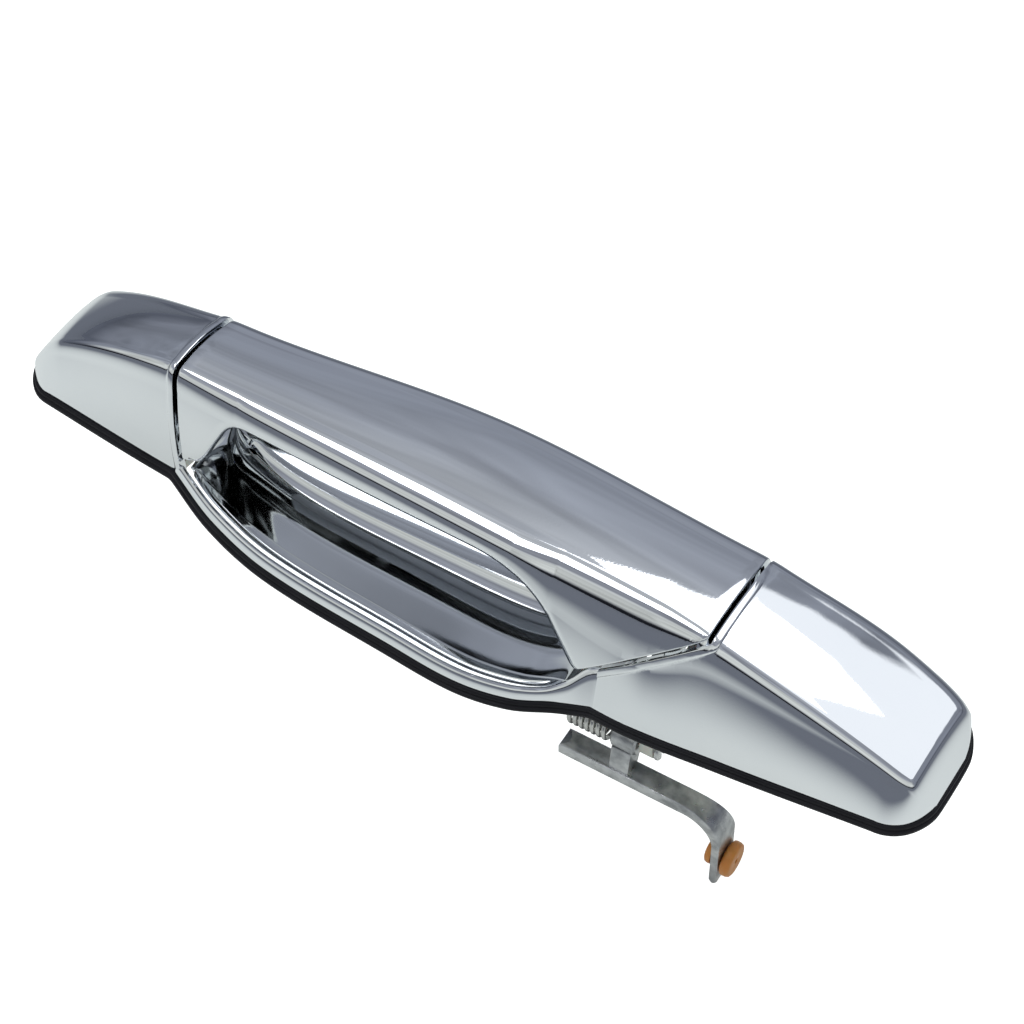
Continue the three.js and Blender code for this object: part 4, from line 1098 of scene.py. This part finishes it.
def studOf(node):
    low, high, middle = along(node)
    headFoot, core = high.z - stud["headHeight"], stud["core"]
    head = bmesh.new()
    bmesh.ops.create_cone(head, segments=6, radius1=stud["headRadius"], radius2=stud["headRadius"],
                          depth=stud["headHeight"], cap_ends=True)
    bmesh.ops.rotate(head, cent=(0, 0, 0), matrix=Matrix.Rotation(math.pi / 6, 3, "Z"), verts=head.verts)
    bmesh.ops.translate(head, vec=(middle.x, middle.y, headFoot + stud["headHeight"] / 2), verts=head.verts)
    bmesh.ops.bevel(head, geom=head.edges[:], offset=0.3, offset_type="OFFSET", affect="EDGES", segments=2,
                    profile=0.5, material=-1)
    shank = turned([(0, low.z), (2.0, low.z), (core, low.z + 0.8), (core, headFoot + 0.2), (0, headFoot + 0.2)],
                   (middle.x, middle.y, 0), "z", 32)
    thread = bmesh.new()
    pitch, rows = stud["pitch"], 24
    turnsUp = int((headFoot - 1.5 - low.z - 1) / pitch)
    corners = [(stud["threadFoot"], 0.06), (stud["threadTip"], 0.42), (stud["threadTip"], 0.58),
               (stud["threadFoot"], 0.94)]
    verts = [thread.verts.new((r, 0, low.z + 1 + h)) for r, h in corners]
    face = thread.faces.new(verts)
    bmesh.ops.spin(thread, geom=[face, *verts, *face.edges], cent=(0, 0, 0), axis=(0, 0, 1),
                   dvec=(0, 0, pitch / rows), angle=2 * math.pi * turnsUp, steps=rows * turnsUp,
                   use_duplicate=False)
    bmesh.ops.recalc_face_normals(thread, faces=thread.faces)
    bmesh.ops.translate(thread, vec=(middle.x, middle.y, 0), verts=thread.verts)
    finishPiece(merged(head, shank, thread), node + "_threaded", made["zincPlated"], "handle_body",
                [node], angle=28)


def bumperOf(node):
    low, high, middle = along(node)
    radius, height = (high.x - low.x) / 2, high.z - low.z
    bm = turned([(0, 0), (radius - 0.1, 0), (radius, 0.2), (radius, height - 0.8), (radius - 0.3, height - 0.3),
                 (radius - 0.9, height - 0.05), (0, height)], (middle.x, middle.y, low.z), "z", 36)
    finishPiece(bm, node + "_rubber", made["stopRubber"], "handle_body", [node])


nodeBody = {n: b for b, names in frame["record"]["behaviour"]["bodies"].items() for n in names}
for node, bore in (("front_hinge_bush", 2.3), ("rear_hinge_bush", 2.3), ("lever_bush", 1.9)):
    tubeOf(node, bore, "frameNylon", nodeBody[node])
for node, head in (("front_hinge_pin", 3.2), ("rear_hinge_pin", 3.2), ("lever_pivot_pin", 2.8)):
    pinOf(node, head, 1.4)
springOf("paddle_spring", 0.65, 5, "handle_body")
springOf("lever_spring", 0.65, 7, "handle_body")
for node in ("front_mounting_stud", "rear_mounting_stud"):
    studOf(node)
for node in ("front_stop_bumper", "rear_stop_bumper"):
    bumperOf(node)
print("round pieces done")

# moulded and cast pieces whose solids already have the right shape, with softened edges
plated = ("zincPlated", "zinc_plated", 0.15)
refinements = [
    ("base_frame", "frameNylon", "frame_nylon", 0.3), ("paddle_carrier", "castZinc", "cast_zinc", 0.3),
    ("grip_plate", "gripPlastic", "grip_plastic", 0.25), *((node, *plated) for node in carrierScrews),
    ("pivot_clip", "pinSteel", "pin_steel", 0.12), *((node, *plated) for node in frameScrews),
]
for node, material, slotName, width in refinements:
    finishPiece(refined(node), node + "_part", made[material], nodeBody[node], [node], angle=32,
                bevel=width)
print("moulded pieces done")


# studio: pale floor with a painted pool of light and a painted glow, soft boxes and the room round them
studio = {
    # painted pool of light: the floor's colour is pale near the handle and darkens to slate far away
    "paintedLitFloor": (0.70, 0.72, 0.685),
    "paintedShadedFloor": (0.13, 0.14, 0.165),
    "floorReach": (0.07, 0.27),  # where the floor's painted pool of light starts and ends falling off into painted shade
    "floorStretch": (0.35, 1, 1),  # less than 1: the painted falloff of light is slower that way
    "floorGlow": (0.93, 0.30),  # the floor's own light: for the camera the even white backdrop, for everything else a painted glow that lights the handle and shows in the chrome
    "softboxes": [
        # place, size, power, colour
        ((-0.37, -0.33, 1.41), (1.0, 0.62), 4.6, (0.97, 0.985, 1.0)),
        ((0.34, 0.80, 1.32), (1.15, 0.95), 4.6, (0.96, 0.975, 1.0)),
    ],
    "backRoom": [(0.0, (0.10, 0.11, 0.14)), (0.12, (0.21, 0.225, 0.27)), (0.4, (0.25, 0.27, 0.32)),
                 (0.7, (0.32, 0.34, 0.39)), (1.0, (0.55, 0.57, 0.60))],
    "frontRoom": [(0.0, (0.012, 0.013, 0.018)), (0.035, (0.02, 0.022, 0.028)), (0.08, (0.34, 0.35, 0.36)),
                  (0.15, (0.62, 0.64, 0.62)), (0.47, (0.60, 0.62, 0.61)), (0.6, (0.30, 0.315, 0.36)),
                  (1.0, (0.32, 0.335, 0.38))],
    "window": (0.40, 0.50, 0.77),  # direction of the big bright patch
    "windowEdge": (0.895, 0.915),
    "windowLight": (1.0, 1.03, 1.08),
    "windowWave": 0.09,  # how far the clouds bend the window's edge
    "frontStart": (0.15, -0.35),  # Y of the direction, where the back room gives way to the front one
    "clouds": {"Scale": 2.6, "Detail": 3.0, "Distortion": 1.2},
    "haze": (0.72, 1.3),  # how far the clouds dim and brighten the room
    "backdrop": (0.93, 0.935, 0.94),
}


def ramped(nodes, link, factor, low, high):
    node = newNode(nodes, "MapRange", From_Min=low, From_Max=high)
    node.interpolation_type = "SMOOTHSTEP"
    link(factor, node.inputs["Value"])
    return node.outputs["Result"]


floorLevel = cadLow.z - 0.0006
bpy.ops.mesh.primitive_plane_add(size=4.0, location=(0, 0, floorLevel))
floor = bpy.context.object
floor.name = "floor"
paper = bpy.data.materials.new("paper")
paper.use_nodes = True
nodes, link = paper.node_tree.nodes, paper.node_tree.links.new
sheen = nodes["Principled BSDF"]
sheen.inputs["Roughness"].default_value = 0.9
place, direct = newNode(nodes, "TexCoord"), newNode(nodes, "LightPath")
drawn, reach = newNode(nodes, "VectorMath", "MULTIPLY"), newNode(nodes, "VectorMath", "LENGTH")
drawn.inputs[1].default_value = studio["floorStretch"]
link(place.outputs["Object"], drawn.inputs[0])
link(drawn.outputs["Vector"], reach.inputs[0])
# painted pool of light and painted shade: the floor's colour and glow fall from pale near the middle to slate far
# away
paintedFloorFalloff = ramped(nodes, link, reach.outputs["Value"], *studio["floorReach"])
tone = mixedColour(nodes, link, paintedFloorFalloff, studio["paintedLitFloor"], studio["paintedShadedFloor"])
link(tone, sheen.inputs["Base Color"])
glow = mixedColour(nodes, link, direct.outputs["Is Camera Ray"], tone, (1.0, 1.0, 1.0))
link(glow, sheen.inputs["Emission Color"])
# painted glow: the floor gives off light for every ray, though it is no lamp; for the camera it is the even white
# backdrop
strength = newNode(nodes, "MapRange", To_Min=studio["floorGlow"][1], To_Max=studio["floorGlow"][0])
link(direct.outputs["Is Camera Ray"], strength.inputs["Value"])
link(strength.outputs["Result"], sheen.inputs["Emission Strength"])
floor.data.materials.append(paper)
floor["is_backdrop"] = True

for spot, size, power, colour in studio["softboxes"]:
    lamp = bpy.data.lights.new("softbox", "AREA")
    lamp.shape = "RECTANGLE"
    lamp.size, lamp.size_y = size
    lamp.energy = power
    lamp.color = colour
    box = bpy.data.objects.new("softbox", lamp)
    bpy.context.scene.collection.objects.link(box)
    box.location = spot
    box.rotation_mode = "QUATERNION"
    box.rotation_quaternion = (-Vector(spot)).to_track_quat("-Z", "Y")

world = bpy.data.worlds.new("room")
bpy.context.scene.world = world
world.use_nodes = True
nodes, link = world.node_tree.nodes, world.node_tree.links.new
direction, split = newNode(nodes, "TexCoord"), newNode(nodes, "SeparateXYZ")
link(direction.outputs["Generated"], split.inputs[0])
sides = []
for stops in (studio["backRoom"], studio["frontRoom"]):
    ramp = newNode(nodes, "ValToRGB")
    link(split.outputs["Z"], ramp.inputs["Fac"])
    first, last = ramp.color_ramp.elements[0], ramp.color_ramp.elements[1]
    first.position, last.position = stops[0][0], stops[-1][0]
    first.color, last.color = (*stops[0][1], 1), (*stops[-1][1], 1)
    for position, colour in stops[1:-1]:
        ramp.color_ramp.elements.new(position).color = (*colour, 1)
    sides.append(ramp.outputs["Color"])
towardsFront = ramped(nodes, link, split.outputs["Y"], *studio["frontStart"])
room = mixedColour(nodes, link, towardsFront, *sides)
clouds = newNode(nodes, "TexNoise", **studio["clouds"])
link(direction.outputs["Generated"], clouds.inputs["Vector"])
dim, bright = studio["haze"]
haze = newNode(nodes, "MapRange", From_Min=0.3, From_Max=0.7, To_Min=dim, To_Max=bright)
link(clouds.outputs["Fac"], haze.inputs["Value"])
streaked, facing = newNode(nodes, "VectorMath", "SCALE"), newNode(nodes, "VectorMath", "DOT_PRODUCT")
link(room, streaked.inputs[0])
link(haze.outputs["Result"], streaked.inputs["Scale"])
link(direction.outputs["Generated"], facing.inputs[0])
facing.inputs[1].default_value = Vector(studio["window"]).normalized()
waved = newNode(nodes, "Math", "MULTIPLY_ADD")
waved.inputs[1].default_value = studio["windowWave"]
link(clouds.outputs["Fac"], waved.inputs[0])
link(facing.outputs["Value"], waved.inputs[2])
edges = [value + studio["windowWave"] / 2 for value in studio["windowEdge"]]
window = ramped(nodes, link, waved.outputs["Value"], *edges)
room = mixedColour(nodes, link, window, streaked.outputs["Vector"], studio["windowLight"])
seen = newNode(nodes, "LightPath").outputs["Is Camera Ray"]
shown = mixedColour(nodes, link, seen, room, studio["backdrop"])
link(shown, nodes["Background"].inputs["Color"])
bpy.context.scene.view_settings.view_transform = "Standard"

view = {
    "target": (0.001283, 0.010242, 0.005312), "azimuth": 31.0, "elevation": 52.5, "distance": 0.8,
    "lens": 113.04,
}
camera = bpy.data.objects.new("camera", bpy.data.cameras.new("camera"))
bpy.context.scene.collection.objects.link(camera)
azimuth, elevation = math.radians(view["azimuth"]), math.radians(view["elevation"])
back = Vector((math.sin(azimuth) * math.cos(elevation), -math.cos(azimuth) * math.cos(elevation),
               math.sin(elevation)))
camera.location = Vector(view["target"]) + back * view["distance"]
camera.rotation_mode = "QUATERNION"
camera.rotation_quaternion = (-back).to_track_quat("-Z", "Y")
camera.data.lens = view["lens"]
camera.data.clip_start, camera.data.clip_end = 0.01, 50
bpy.context.scene.camera = camera
print("studio done")

low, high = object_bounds()
